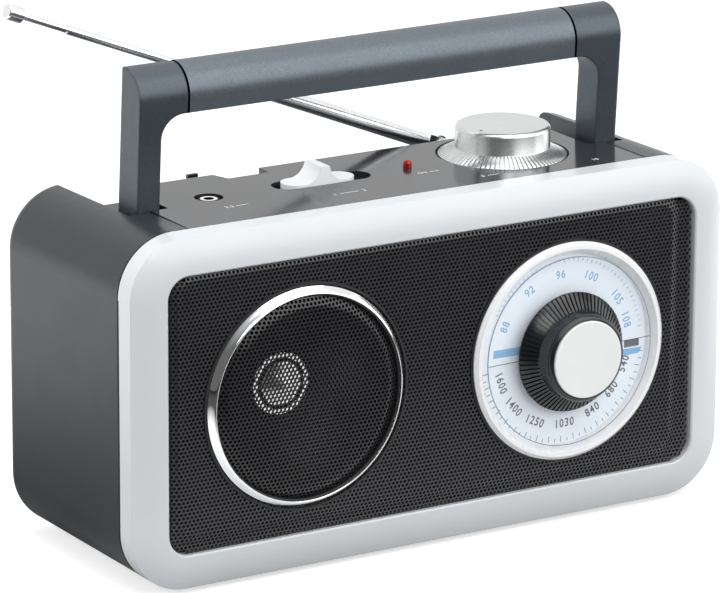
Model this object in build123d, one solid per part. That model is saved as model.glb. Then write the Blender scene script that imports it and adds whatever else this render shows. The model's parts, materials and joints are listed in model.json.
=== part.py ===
from build123d import *
import math
import os

# Tabletop radio with a folding carry handle, a front tuning dial and a telescopic antenna.
# Millimetres. +Z is up, the front faces -Y, and the origin is the centre of the case's footprint
# on the surface that the feet stand on.

# Cabinet
CASE_WIDTH = 235.0
CASE_HEIGHT = 121.5
CASE_DEPTH = 91.0
CORNER_RADIUS = 20.5
WALL = 2.5
REAR_EDGE_RADIUS = 5.0
TOP_FALL = 1.3
SEAM_WIDTH = 0.6
SEAM_DEPTH = 0.8

# Clearances
RUN = 0.05
GAP = 0.3

# Rubber feet
FOOT_HEIGHT = 2.0
FOOT_RADIUS = 7.0
FOOT_SEAT = 1.0
FOOT_INSET_X = 33.0
FOOT_INSET_Y = 20.0

# Bezel: its bar, the thickness behind its inner edge, and the set-back of its crowned outer edge
BEZEL_DEPTH = 11.5
BEZEL_BAR = 12.6
BEZEL_LIP = 5.0
BEZEL_SETBACK = 3.4
BEZEL_CROWN = 0.9
BEZEL_EDGE = 0.5

# Pressed grille: a flange behind the bezel, a sloping margin and a raised field
SHEET = 1.0
GRILLE_TUCK = 3.0
FIELD_MARGIN = 5.7
FIELD_SLOPE = 4.5
FIELD_RISE = 2.5
FIELD_CORNER = 1.0

# Baffle behind the grille
BAFFLE = 3.0

# Trim rings round the speaker and the dial
RING_X = 52.2
RING_RADIUS = 38.7
RING_PROUD = 4.5
RING_EDGE = 1.2
SPEAKER_RING_BORE = 35.8
DIAL_RING_BORE = 34.2
DIAL_RING_LAND = 1.2

# Dial and its pointer disc
DIAL_RADIUS = 36.4
DIAL_THICK = 1.5
DIAL_PAD_WIDTH = 4.0
POINTER_RADIUS = 33.5
POINTER_THICK = 1.2
POINTER_GAP = 2.7

# Tuning knob
KNOB_SKIRT_RADIUS = 21.2
KNOB_SKIRT_EDGE = 1.0
KNOB_SKIRT_RISE = 3.7
KNOB_BODY_RADIUS = 15.6
KNOB_HEIGHT = 11.6
KNOB_CAP_RADIUS = 13.6
KNOB_CAP_THICK = 1.2
TUNING_SHAFT_RADIUS = 3.0

# Main circuit board behind the dial
BOARD_WIDTH = 82.0
BOARD_HEIGHT = 74.0
BOARD_THICK = 1.6
BOARD_STANDOFF = 11.0
STANDOFF_RADIUS = 3.2
BOARD_SCREW_INSET = 5.0
CAPACITOR_SIZE = 20.0
CAPACITOR_BORE_DEPTH = 6.0

# Speaker
SPEAKER_RADIUS = 40.0
SPEAKER_OPENING = 33.5
CONE_SHEET = 0.8
CONE_NECK_RADIUS = 11.6
CONE_DEPTH = 9.0
BASKET_SHEET = 1.2
BASKET_DEPTH = 20.0
BASKET_FOOT_RADIUS = 24.0
DUST_CAP_RISE = 4.5
DUST_DOME_RADIUS = 7.6
DOME_SHOULDER_REACH = 0.7
DOME_SHOULDER_RISE = 0.52
MAGNET_RADIUS = 22.5
MAGNET_DEPTH = 10.0
SPEAKER_SCREW_RING = 37.6

# Top deck, the glossy panel on it and its row of controls
PANEL_INSET = 26.9
PANEL_THICK = 2.2
PANEL_SEAM = 0.4
DECK_THICK = 2.2
CONTROL_DEPTH = 42.4
JACK_INSET = 52.1
BAND_X = -21.4
LAMP_TO_VOLUME = 38.8
VOLUME_INSET = 65.5

# Control board hung under the deck
CONTROL_DROP = 13.0
CONTROL_BOARD_INSET = 41.5
CONTROL_BOARD_DEPTH = 26.0
POST_TO_JACK = 19.4
POSTS_TO_VOLUME = (-26.0, 14.0)

# Headphone jack
JACK_BORE_RADIUS = 1.8
JACK_BUSH_RADIUS = 3.0
JACK_BORE_DEPTH = 15.0
JACK_RECESS_RADIUS = 5.0
JACK_BODY = 11.0
JACK_BODY_HEIGHT = 11.5
JACK_NUT_RADIUS = 4.3
JACK_NUT_THICK = 1.2
JACK_SINK = 0.4

# Band slider
BAND_SLOT_LENGTH = 37.8
BAND_SLOT_WIDTH = 11.4
BAND_PLATE_LENGTH = 27.4
BAND_PLATE_WIDTH = 10.8
BAND_TRAVEL = 3.0
BAND_PROUD = 0.8
BAND_FIN_HEIGHT = 5.4
BAND_FIN_TOP = 3.4
BAND_FIN_FOOT = 19.0
FIN_FLARE_REACH = 0.26
FIN_FLARE_HEIGHT = 0.3
BAND_STEM_LENGTH = 6.0
BAND_STEM_WIDTH = 3.0
SWITCH_LENGTH = 18.0
SWITCH_WIDTH = 7.0
SWITCH_HEIGHT = 8.0
SWITCH_POCKET = 4.0

# Power lamp
LAMP_RADIUS = 1.5
LAMP_PROUD = 2.6
LAMP_FLANGE = 0.5
LAMP_ROUND = 1.35

# Volume knob
VOLUME_FLANGE_RADIUS = 22.5
VOLUME_FLANGE_EDGE = 1.2
VOLUME_FLANGE_RISE = 2.8
VOLUME_RADIUS = 16.7
VOLUME_HEIGHT = 10.5
VOLUME_ROUND = 1.4
VOLUME_RECESS_GAP = 0.8
VOLUME_HOLLOW_RADIUS = 13.0
VOLUME_HOLLOW_TOP = 3.2
VOLUME_SHAFT_RADIUS = 3.0
VOLUME_SHAFT_GRIP = 4.5
POT_SIZE = 17.0
POT_HEIGHT = 9.0
POT_BUSH_RADIUS = 4.4
POT_NUT_RADIUS = 6.0
POT_NUT_THICK = 1.6

# Carry handle, its slots and the recess behind the panel that it folds towards
LEG_INSET = 26.0
LEG_WIDTH = 8.5
LEG_DEPTH = 12.5
HANDLE_PIVOT_DEPTH = 44.0
HANDLE_LEAN = 3.9
HANDLE_RISE = 47.8
HANDLE_EDGE = 1.0
GRIP_HEIGHT = 15.1
GRIP_ROUND = 10.0
ELBOW_REACH = 9.9
ELBOW_FILLET = 8.5
GRIP_GROOVE = 0.6
GRIP_GROOVE_DEPTH = 0.9
SLOT_WIDTH = 15.0
STOP_GAP = 0.35
RECESS_DEPTH = 67.3
RECESS_DROP = 12.2
PIVOT_CLEARANCE = 0.5
PIN_RADIUS = 2.0
WASHER_RADIUS = 4.4

# Finger notch in the panel's rear edge
NOTCH_X = -39.3
NOTCH_WIDTH = 16.0
NOTCH_DEPTH = 6.9
NOTCH_SLANT = 2.4

# Antenna: its stud, fork, and four sections drawn out along one axis
ANTENNA_X = 49.0
ANTENNA_DEPTH = 76.0
ANTENNA_PIVOT_HEIGHT = 7.1
ANTENNA_ELEVATION = 21.9
FORK_BASE_RADIUS = 6.0
FORK_BASE_THICK = 2.6
FORK_CHEEK = 1.8
FORK_LENGTH = 7.2
TONGUE_WIDTH = 4.4
TONGUE_HEAD = 3.0
STUD_RADIUS = 2.5
STUD_NUT_RADIUS = 4.5
STUD_NUT_THICK = 2.4
FORK_PIN_RADIUS = 1.0
TUBE_PLUG = 2.0
TUBE_RADII = (2.85, 2.3, 1.6)
TUBE_BORES = (2.35, 1.65, 1.25)
TUBE_STARTS = (8.0, 14.0, 64.0)
TUBE_ENDS = (110.0, 114.0, 161.5)
TIP_ROD_RADIUS = 1.2
TIP_ROD_START = 88.0
TIP_ROD_END = 179.5
TIP_RADIUS = 2.85
TIP_LENGTH = 6.2
TIP_ROUND = 0.8

# Rest clip for the folded antenna
CLIP_X = -50.5
CLIP_WIDTH = 4.0
CLIP_WALL = 1.4
CLIP_HEIGHT = 9.7

# Rear cover, seated on a lip in the case's rear wall
COVER_MARGIN = 7.0
COVER_INSET = 1.0
COVER_LIP = 3.0
COVER_LIP_THICK = 1.5
BOSS_RADIUS = 4.5
BOSS_LENGTH = 14.0
COVER_SCREW_INSET = 6.5

# Vents in the rear cover above the battery door
VENT_COUNT = 11
VENT_PITCH = 9.0
VENT_WIDTH = 2.6
VENT_SHARE = 0.48

# Battery bay for four C cells, and its door on a pin along its lower edge
BAY_X = -16.0
BAY_WIDTH = 108.0
BAY_HEIGHT = 56.0
BAY_DEPTH = 29.0
BAY_LIFT = 8.0
TRAY_WALL = 1.5
DOOR_OVERLAP = 3.0
DOOR_THICK = 1.5
DOOR_PIN_RADIUS = 0.6
DOOR_NOTCH_RADIUS = 9.0
DOOR_NOTCH_DEPTH = 0.8
CONTACT_SIZE = 12.0
CONTACT_THICK = 0.5
SPRING_RADIUS = 4.5
SPRING_LENGTH = 5.0
SPRING_WIRE = 0.4
SPRING_PITCH = 1.6

# Mains inlet and transformer
INLET_X = 78.0
INLET_LIFT = 26.0
INLET_WIDTH = 22.0
INLET_HEIGHT = 13.0
INLET_LENGTH = 18.0
INLET_FLANGE = 2.0
SOCKET_WIDTH = 16.0
SOCKET_HEIGHT = 9.0
SOCKET_DEPTH = 12.0
INLET_PIN_RADIUS = 1.2
INLET_PIN_SPACING = 8.6
CORE_WIDTH = 42.0
CORE_DEPTH = 18.0
CORE_HEIGHT = 35.0
CORE_LEG = 14.0
CORE_YOKE = 7.0
COIL_OVERHANG = 6.0
TRANSFORMER_INSET = 43.5
TRANSFORMER_Y = 0.5

# Ferrite rod aerial under the recess floor
FERRITE_RADIUS = 5.0
FERRITE_X = -20.0
FERRITE_LENGTH = 110.0
FERRITE_HOLDER_SPACING = 90.0
FERRITE_DROP = 9.0
FERRITE_INSET = 10.0
FERRITE_HOLDER = 7.0
FERRITE_HOLDER_WALL = 2.0
FERRITE_COIL_LENGTH = 34.0
FERRITE_COIL_WALL = 1.5

# Screws
SCREW_RADIUS = 1.5
SCREW_HEAD_RADIUS = 2.7
SCREW_HEAD = 1.8
SCREW_BITE = 6.0

# Levels and depths worked out from the sizes above
Y_FRONT = -CASE_DEPTH / 2
Y_REAR = CASE_DEPTH / 2
Z_BASE = FOOT_HEIGHT
Z_TOP = Z_BASE + CASE_HEIGHT
Z_MID = Z_BASE + CASE_HEIGHT / 2
CASE_FRONT = Y_FRONT + BEZEL_DEPTH
OPENING_WIDTH = CASE_WIDTH - 2 * BEZEL_BAR
OPENING_HEIGHT = CASE_HEIGHT - 2 * BEZEL_BAR
OPENING_RADIUS = CORNER_RADIUS - BEZEL_BAR
GRILLE_Y = Y_FRONT + BEZEL_LIP
FIELD_Y = GRILLE_Y - FIELD_RISE
BAFFLE_Y = GRILLE_Y + SHEET
BAFFLE_BACK = BAFFLE_Y + BAFFLE
RING_FRONT = FIELD_Y - RING_PROUD
POINTER_BACK = FIELD_Y - POINTER_GAP
POINTER_FRONT = POINTER_BACK - POINTER_THICK
KNOB_FRONT = POINTER_FRONT - KNOB_HEIGHT
BOARD_Y = BAFFLE_BACK + BOARD_STANDOFF
DECK_TOP = Z_TOP - PANEL_THICK
DECK_UNDER = DECK_TOP - DECK_THICK
CONTROL_Y = Y_FRONT + CONTROL_DEPTH
PANEL_WIDTH = CASE_WIDTH - 2 * PANEL_INSET
JACK_X = JACK_INSET - CASE_WIDTH / 2
VOLUME_X = CASE_WIDTH / 2 - VOLUME_INSET
LAMP_X = VOLUME_X - LAMP_TO_VOLUME
DECK_REACH = PANEL_WIDTH / 2 + WALL
CONTROL_BOARD_WIDTH = CASE_WIDTH - 2 * CONTROL_BOARD_INSET
CONTROL_POST_X = [JACK_X + POST_TO_JACK] + [VOLUME_X + reach for reach in POSTS_TO_VOLUME]
CONTROL_BOARD_TOP = DECK_UNDER - CONTROL_DROP
JACK_BODY_TOP = CONTROL_BOARD_TOP + JACK_BODY_HEIGHT
RECESS_Y = Y_FRONT + RECESS_DEPTH
RECESS_FLOOR = Z_TOP - RECESS_DROP
PIVOT_Y = Y_FRONT + HANDLE_PIVOT_DEPTH
PIVOT_Z = RECESS_FLOOR + LEG_DEPTH / 2 + PIVOT_CLEARANCE
LEAN = math.radians(HANDLE_LEAN)
LEG_SPACING = CASE_WIDTH - 2 * LEG_INSET
SLOT_Y = PIVOT_Y - LEG_DEPTH / 2 / math.cos(LEAN) - (Z_TOP - PIVOT_Z) * math.tan(LEAN) - STOP_GAP
SLOT_INNER = (LEG_SPACING - SLOT_WIDTH) / 2
SLOT_OUTER = (LEG_SPACING + SLOT_WIDTH) / 2
HANDLE_TOP = (Z_TOP + HANDLE_RISE - PIVOT_Z) / math.cos(LEAN)
GRIP_END = LEG_SPACING / 2 - LEG_WIDTH / 2 - ELBOW_REACH
COVER_BACK = Y_REAR - COVER_INSET
COVER_FRONT = COVER_BACK - WALL
REAR_WALL_FRONT = COVER_FRONT - COVER_LIP_THICK
COVER_LOW = Z_BASE + COVER_MARGIN
COVER_HIGH = RECESS_FLOOR - WALL - COVER_MARGIN / 2
BAY_LOW = COVER_LOW + BAY_LIFT
BAY_MID = BAY_LOW + BAY_HEIGHT / 2
DOOR_PIVOT_Y = COVER_BACK - DOOR_THICK
DOOR_PIVOT_Z = BAY_LOW - DOOR_OVERLAP + DOOR_THICK + GAP
SCREW_HOLE = SCREW_RADIUS + RUN
ANTENNA_Y = Y_FRONT + ANTENNA_DEPTH
ANTENNA_Z = RECESS_FLOOR + ANTENNA_PIVOT_HEIGHT
TILT = math.radians(ANTENNA_ELEVATION)
TRANSFORMER_X = CASE_WIDTH / 2 - TRANSFORMER_INSET
FERRITE_Y = REAR_WALL_FRONT - FERRITE_INSET
FERRITE_Z = RECESS_FLOOR - WALL - FERRITE_DROP


# Drawing helpers
def front_plane(y):
    """Plane facing the front at depth y, with the sheet's axes along X and Z."""
    return Plane(origin=(0, y, 0), x_dir=(1, 0, 0), z_dir=(0, -1, 0))


def slab(sketch, y_front, y_rear):
    """A sketch in X and Z, solid between two depths."""
    return extrude(front_plane(y_rear) * sketch, y_rear - y_front)


def stack(sketch, z_low, z_high):
    """A sketch in X and Y, solid between two levels."""
    return extrude(Plane.XY.offset(z_low) * sketch, z_high - z_low)


def side(sketch, x_low, x_high):
    """A sketch in Y and Z, solid between two places along X."""
    return extrude(Plane.YZ.offset(x_low) * sketch, x_high - x_low)


def block(x_low, x_high, y_low, y_high, z_low, z_high):
    """A plain block between its low and high corners."""
    centre = Pos((x_low + x_high) / 2, (y_low + y_high) / 2, (z_low + z_high) / 2)
    return centre * Box(x_high - x_low, y_high - y_low, z_high - z_low)


def rod_x(radius, x_low, x_high, y, z):
    return side(Pos(y, z) * Circle(radius), x_low, x_high)


def rod_y(radius, y_front, y_rear, x, z):
    return slab(Pos(x, z) * Circle(radius), y_front, y_rear)


def rod_z(radius, z_low, z_high, x, y):
    return stack(Pos(x, y) * Circle(radius), z_low, z_high)


def turned_y(points, x, z):
    """A closed outline of (radius, depth) points, turned about an axis along Y."""
    return Pos(x, 0, z) * revolve(make_face(Polyline(*points, close=True)), Axis.Y)


def turned_z(points, x, y):
    """A closed outline of (radius, level) points, turned about a vertical axis."""
    outline = Plane.XZ * make_face(Polyline(*points, close=True))
    return Pos(x, y, 0) * revolve(outline, Axis.Z)


def screw(x, y_seat, z):
    """A screw whose head sits on a face at depth y_seat and whose shank points to the front."""
    return rod_y(SCREW_HEAD_RADIUS, y_seat, y_seat + SCREW_HEAD, x, z) + rod_y(
        SCREW_RADIUS, y_seat - SCREW_BITE, y_seat, x, z
    )


def group(pieces):
    """Separate solids kept together in one node."""
    return Compound([solid for piece in pieces for solid in piece.solids()])


# Shared outlines
def case_outline(inset=0.0):
    """The case's rounded front view, drawn in from its outer skin by inset."""
    return Pos(0, Z_MID) * RectangleRounded(
        CASE_WIDTH - 2 * inset, CASE_HEIGHT - 2 * inset, CORNER_RADIUS - inset
    )


def opening_outline(inset=0.0):
    """The bezel's opening, drawn in by inset."""
    return Pos(0, Z_MID) * RectangleRounded(
        OPENING_WIDTH - 2 * inset, OPENING_HEIGHT - 2 * inset, max(OPENING_RADIUS - inset, FIELD_CORNER)
    )


def cover_outline(inset=0.0):
    """The rear cover's outline: the case's outline drawn in, cut off below the recess floor."""
    low = COVER_LOW + inset
    high = COVER_HIGH - inset
    window = Pos(0, (low + high) / 2) * Rectangle(CASE_WIDTH, high - low)
    return case_outline(COVER_MARGIN + inset) & window


def bezel_screw_places():
    """Four places along the bezel's bar where the baffle is screwed to it."""
    x = CASE_WIDTH / 2 - BEZEL_BAR / 2 - SCREW_RADIUS
    z = CASE_HEIGHT / 4
    return [(sx * x, Z_MID + sz * z) for sx in (-1, 1) for sz in (-1, 1)]


def board_screw_places():
    x = BOARD_WIDTH / 2 - BOARD_SCREW_INSET
    z = BOARD_HEIGHT / 2 - BOARD_SCREW_INSET
    return [(RING_X + sx * x, Z_MID + sz * z) for sx in (-1, 1) for sz in (-1, 1)]


def speaker_screw_places():
    reach = SPEAKER_SCREW_RING / math.sqrt(2)
    return [(-RING_X + sx * reach, Z_MID + sz * reach) for sx in (-1, 1) for sz in (-1, 1)]


def cover_screw_places():
    x = CASE_WIDTH / 2 - COVER_MARGIN - COVER_SCREW_INSET
    low = COVER_LOW + COVER_SCREW_INSET
    high = COVER_HIGH - COVER_SCREW_INSET
    return [(sx * x, z) for sx in (-1, 1) for z in (low, high)]


def foot_places():
    x = CASE_WIDTH / 2 - FOOT_INSET_X
    y = CASE_DEPTH / 2 - FOOT_INSET_Y
    return [(sx * x, sy * y) for sx in (-1, 1) for sy in (-1, 1)]


# Front pieces
def front_bezel():
    """The crowned silver frame: one bar section carried round the case's outline."""
    path = (front_plane(Y_FRONT) * case_outline()).wire()
    start = path @ 0
    along = path % 0
    inward = along.cross(Vector(0, 1, 0))
    if inward.dot(Vector(0, Y_FRONT, Z_MID) - start) < 0:
        inward = -inward
    section_plane = Plane(origin=start, x_dir=inward, z_dir=inward.cross(Vector(0, 1, 0)))
    crown = ThreePointArc(
        (0, BEZEL_SETBACK),
        (BEZEL_BAR / 2, BEZEL_SETBACK / 2 - BEZEL_CROWN),
        (BEZEL_BAR - BEZEL_EDGE, 0),
    )
    rest = Polyline(
        (BEZEL_BAR - BEZEL_EDGE, 0),
        (BEZEL_BAR, BEZEL_EDGE),
        (BEZEL_BAR, BEZEL_LIP),
        (WALL, BEZEL_LIP),
        (WALL, BEZEL_DEPTH),
        (0, BEZEL_DEPTH),
        (0, BEZEL_SETBACK),
    )
    section = section_plane * make_face(crown + rest)
    bezel = sweep(section, path)
    for x, z in bezel_screw_places():
        bezel -= rod_y(SCREW_HOLE, BAFFLE_BACK - SCREW_BITE - GAP, GRILLE_Y + 1, x, z)
    return bezel


def field_block(y_shift):
    """The grille's raised field: a block with sloping margins, moved back by y_shift."""
    low = front_plane(GRILLE_Y + y_shift) * opening_outline(FIELD_MARGIN)
    high = front_plane(FIELD_Y + y_shift) * opening_outline(FIELD_MARGIN + FIELD_SLOPE)
    return loft([low.face(), high.face()], ruled=True)


def front_grille():
    flange = slab(opening_outline(-GRILLE_TUCK), GRILLE_Y, BAFFLE_Y)
    sheet = flange + field_block(0) - field_block(SHEET)
    return sheet - rod_y(DIAL_RADIUS + GAP, FIELD_Y - 1, BAFFLE_Y + 1, RING_X, Z_MID)


def front_baffle():
    plate = slab(case_outline(WALL + GAP), BAFFLE_Y, BAFFLE_BACK)
    plate -= rod_y(SPEAKER_OPENING, BAFFLE_Y - 1, BAFFLE_BACK + 1, -RING_X, Z_MID)
    pad = rod_y(DIAL_RADIUS, FIELD_Y + DIAL_THICK, BAFFLE_Y, RING_X, Z_MID)
    pad -= rod_y(DIAL_RADIUS - DIAL_PAD_WIDTH, FIELD_Y, BAFFLE_Y, RING_X, Z_MID)
    plate += pad
    for x, z in board_screw_places():
        plate += rod_y(STANDOFF_RADIUS, BAFFLE_BACK, BOARD_Y, x, z)
        plate -= rod_y(SCREW_HOLE, BOARD_Y + BOARD_THICK - SCREW_BITE - GAP, BOARD_Y + 1, x, z)
    for x, z in speaker_screw_places():
        plate -= rod_y(SCREW_HOLE, BAFFLE_Y - 1, BAFFLE_BACK + 1, x, z)
    for x, z in bezel_screw_places():
        plate -= rod_y(SCREW_HOLE, BAFFLE_Y - 1, BAFFLE_BACK + 1, x, z)
    return plate - rod_y(TUNING_SHAFT_RADIUS + 1, BAFFLE_Y - 1, BAFFLE_BACK + 1, RING_X, Z_MID)


def speaker_ring():
    """Half-round chrome ring on the grille's field."""
    half = (RING_RADIUS - SPEAKER_RING_BORE) / 2
    shoulder = RING_FRONT + half
    dome = ThreePointArc(
        (RING_RADIUS, shoulder), (RING_RADIUS - half, RING_FRONT), (SPEAKER_RING_BORE, shoulder)
    )
    wall = Polyline(
        (SPEAKER_RING_BORE, shoulder),
        (SPEAKER_RING_BORE, FIELD_Y),
        (RING_RADIUS, FIELD_Y),
        (RING_RADIUS, shoulder),
    )
    return Pos(-RING_X, 0, Z_MID) * revolve(make_face(dome + wall), Axis.Y)


def dial_ring():
    """Ring with a flat front land and a bevel that falls to the dial."""
    land = RING_RADIUS - RING_EDGE - DIAL_RING_LAND
    points = [
        (RING_RADIUS, FIELD_Y),
        (RING_RADIUS, RING_FRONT + RING_EDGE),
        (RING_RADIUS - RING_EDGE, RING_FRONT),
        (land, RING_FRONT),
        (DIAL_RING_BORE, FIELD_Y - RING_EDGE),
        (DIAL_RING_BORE, FIELD_Y),
    ]
    return turned_y(points, RING_X, Z_MID)


def dial_plate():
    plate = rod_y(DIAL_RADIUS, FIELD_Y, FIELD_Y + DIAL_THICK, RING_X, Z_MID)
    return plate - rod_y(TUNING_SHAFT_RADIUS + 1, FIELD_Y - 1, FIELD_Y + DIAL_THICK + 1, RING_X, Z_MID)


# Tuning
def pointer_disc():
    disc = rod_y(POINTER_RADIUS, POINTER_FRONT, POINTER_BACK, RING_X, Z_MID)
    return disc - rod_y(TUNING_SHAFT_RADIUS + RUN, POINTER_FRONT - 1, POINTER_BACK + 1, RING_X, Z_MID)


def tuning_knob():
    """Knob with a conical skirt, a recess for its cap and a blind bore for the shaft."""
    rim = POINTER_FRONT - KNOB_SKIRT_EDGE
    neck = rim - KNOB_SKIRT_RISE
    bore = TUNING_SHAFT_RADIUS + RUN
    bore_end = KNOB_FRONT + 2 * KNOB_CAP_THICK
    points = [
        (bore, POINTER_FRONT),
        (KNOB_SKIRT_RADIUS, POINTER_FRONT),
        (KNOB_SKIRT_RADIUS, rim),
        (KNOB_BODY_RADIUS, neck),
        (KNOB_BODY_RADIUS, KNOB_FRONT + KNOB_CAP_THICK),
        (KNOB_CAP_RADIUS + GAP, KNOB_FRONT + KNOB_CAP_THICK / 2),
        (KNOB_CAP_RADIUS + GAP, KNOB_FRONT + KNOB_CAP_THICK),
        (0, KNOB_FRONT + KNOB_CAP_THICK),
        (0, bore_end),
        (bore, bore_end),
    ]
    return turned_y(points, RING_X, Z_MID)


def tuning_knob_cap():
    cap = rod_y(KNOB_CAP_RADIUS, KNOB_FRONT, KNOB_FRONT + KNOB_CAP_THICK, RING_X, Z_MID)
    return fillet(cap.faces().sort_by(Axis.Y)[0].edges(), KNOB_CAP_THICK / 3)


def tuning_shaft():
    y_front = KNOB_FRONT + 2 * KNOB_CAP_THICK
    y_rear = BOARD_Y - CAPACITOR_SIZE / 2 + CAPACITOR_BORE_DEPTH
    return rod_y(TUNING_SHAFT_RADIUS, y_front, y_rear, RING_X, Z_MID)


def tuning_capacitor():
    """Variable capacitor on the board's face, bored for the tuning shaft."""
    front = BOARD_Y - CAPACITOR_SIZE / 2
    half = CAPACITOR_SIZE / 2
    body = block(RING_X - half, RING_X + half, front, BOARD_Y, Z_MID - half, Z_MID + half)
    bore_end = front + CAPACITOR_BORE_DEPTH + GAP
    return body - rod_y(TUNING_SHAFT_RADIUS + RUN, front - 1, bore_end, RING_X, Z_MID)


def circuit_board():
    board = slab(Pos(RING_X, Z_MID) * Rectangle(BOARD_WIDTH, BOARD_HEIGHT), BOARD_Y, BOARD_Y + BOARD_THICK)
    for x, z in board_screw_places():
        board -= rod_y(SCREW_HOLE, BOARD_Y - 1, BOARD_Y + BOARD_THICK + 1, x, z)
    return board


# Speaker
def speaker_cone():
    """Rim, cone and neck of the paper cone, one thin turned sheet."""
    face = BAFFLE_BACK
    rim = SPEAKER_OPENING - 2 * CONE_SHEET
    neck = CONE_NECK_RADIUS
    neck_end = face + BASKET_DEPTH - 2 * BASKET_SHEET
    points = [
        (SPEAKER_RADIUS, face),
        (SPEAKER_RADIUS, face + CONE_SHEET),
        (rim, face + CONE_SHEET),
        (neck, face + CONE_DEPTH),
        (neck, neck_end),
        (neck - CONE_SHEET, neck_end),
        (neck - CONE_SHEET, face + CONE_DEPTH - CONE_SHEET),
        (rim, face),
    ]
    cone = turned_y(points, -RING_X, Z_MID)
    for x, z in speaker_screw_places():
        cone -= rod_y(SCREW_HOLE, face - 1, face + CONE_SHEET + 1, x, z)
    return cone


def speaker_dust_cap():
    """Flat silver ring with a dome, seated in the cone's throat."""
    seat = BAFFLE_BACK + CONE_DEPTH - CONE_SHEET
    ring = rod_y(CONE_NECK_RADIUS - CONE_SHEET - RUN, seat, seat + CONE_SHEET, -RING_X, Z_MID)
    top = seat - DUST_CAP_RISE
    shoulder = (DUST_DOME_RADIUS * DOME_SHOULDER_REACH, seat - DUST_CAP_RISE * DOME_SHOULDER_RISE)
    dome = ThreePointArc((0, top), shoulder, (DUST_DOME_RADIUS, seat))
    base = Polyline((DUST_DOME_RADIUS, seat), (0, seat), (0, top))
    return ring + Pos(-RING_X, 0, Z_MID) * revolve(make_face(dome + base), Axis.Y)


def speaker_basket():
    """Pressed steel basket: flange, sloping wall and back plate."""
    face = BAFFLE_BACK + CONE_SHEET
    back = face + BASKET_DEPTH
    rim = SPEAKER_OPENING
    points = [
        (SPEAKER_RADIUS, face),
        (SPEAKER_RADIUS, face + BASKET_SHEET),
        (rim + BASKET_SHEET, face + BASKET_SHEET),
        (BASKET_FOOT_RADIUS, back),
        (CONE_NECK_RADIUS + 2 * BASKET_SHEET, back),
        (CONE_NECK_RADIUS + 2 * BASKET_SHEET, back - BASKET_SHEET),
        (BASKET_FOOT_RADIUS - BASKET_SHEET, back - BASKET_SHEET),
        (rim, face),
    ]
    basket = turned_y(points, -RING_X, Z_MID)
    for x, z in speaker_screw_places():
        basket -= rod_y(SCREW_HOLE, face - 1, face + BASKET_SHEET + 1, x, z)
    return basket


def speaker_magnet():
    front = BAFFLE_BACK + CONE_SHEET + BASKET_DEPTH
    magnet = rod_y(MAGNET_RADIUS, front, front + MAGNET_DEPTH, -RING_X, Z_MID)
    return chamfer(magnet.faces().sort_by(Axis.Y)[-1].edges(), BASKET_SHEET)


# Case
def notch_corners(grow=0.0):
    """The finger notch in the panel's rear edge, seen from above, from its right rear corner round."""
    right = NOTCH_X + NOTCH_WIDTH / 2 + grow
    left = NOTCH_X - NOTCH_WIDTH / 2 - grow
    front = RECESS_Y - NOTCH_DEPTH - grow
    rear = RECESS_Y - min(grow, 0)
    return [(right, rear), (right, front), (left, front), (left - NOTCH_SLANT, rear)]


def recess_cuts(grow=0.0):
    """The recess behind the panel, its finger notch and the handle's two slots, grown by a wall."""
    floor = RECESS_FLOOR - grow
    top = Z_TOP + 1
    rear = Y_REAR + 1
    reach = SLOT_OUTER + grow
    cuts = [
        block(-reach, reach, RECESS_Y - grow, rear, floor, top),
        stack(make_face(Polyline(*notch_corners(grow), close=True)), floor, top),
    ]
    for hand in (-1, 1):
        near = hand * (SLOT_INNER - grow)
        far = hand * reach
        cuts.append(block(min(near, far), max(near, far), SLOT_Y - grow, rear, floor, top))
    return cuts


def panel_outline(gap=0.0):
    """The top panel seen from above: wide in front of the slots, narrower between them."""
    front = CASE_FRONT + gap
    wide = PANEL_WIDTH / 2 - gap
    narrow = SLOT_INNER - gap
    rear = RECESS_Y - gap
    points = [
        (-wide, front),
        (wide, front),
        (wide, SLOT_Y - gap),
        (narrow, SLOT_Y - gap),
        (narrow, rear),
    ]
    points += [(x, min(y, rear)) for x, y in notch_corners(gap)]
    points += [(-narrow, rear), (-narrow, SLOT_Y - gap), (-wide, SLOT_Y - gap)]
    return make_face(Polyline(*points, close=True))


def case_section(y, inset):
    """The case's outline at depth y, with a top that falls a little towards the rear."""
    fall = TOP_FALL * (y - CASE_FRONT) / (Y_REAR - CASE_FRONT)
    return Pos(0, Z_MID - fall / 2) * RectangleRounded(
        CASE_WIDTH - 2 * inset, CASE_HEIGHT - fall - 2 * inset, CORNER_RADIUS - inset
    )


def case_form(y_front, y_rear, inset=0.0):
    """The case's body between two depths, drawn in from its outer skin by inset."""
    ends = [front_plane(y) * case_section(y, inset) for y in (y_front, y_rear)]
    return loft(ends, ruled=True)


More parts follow.
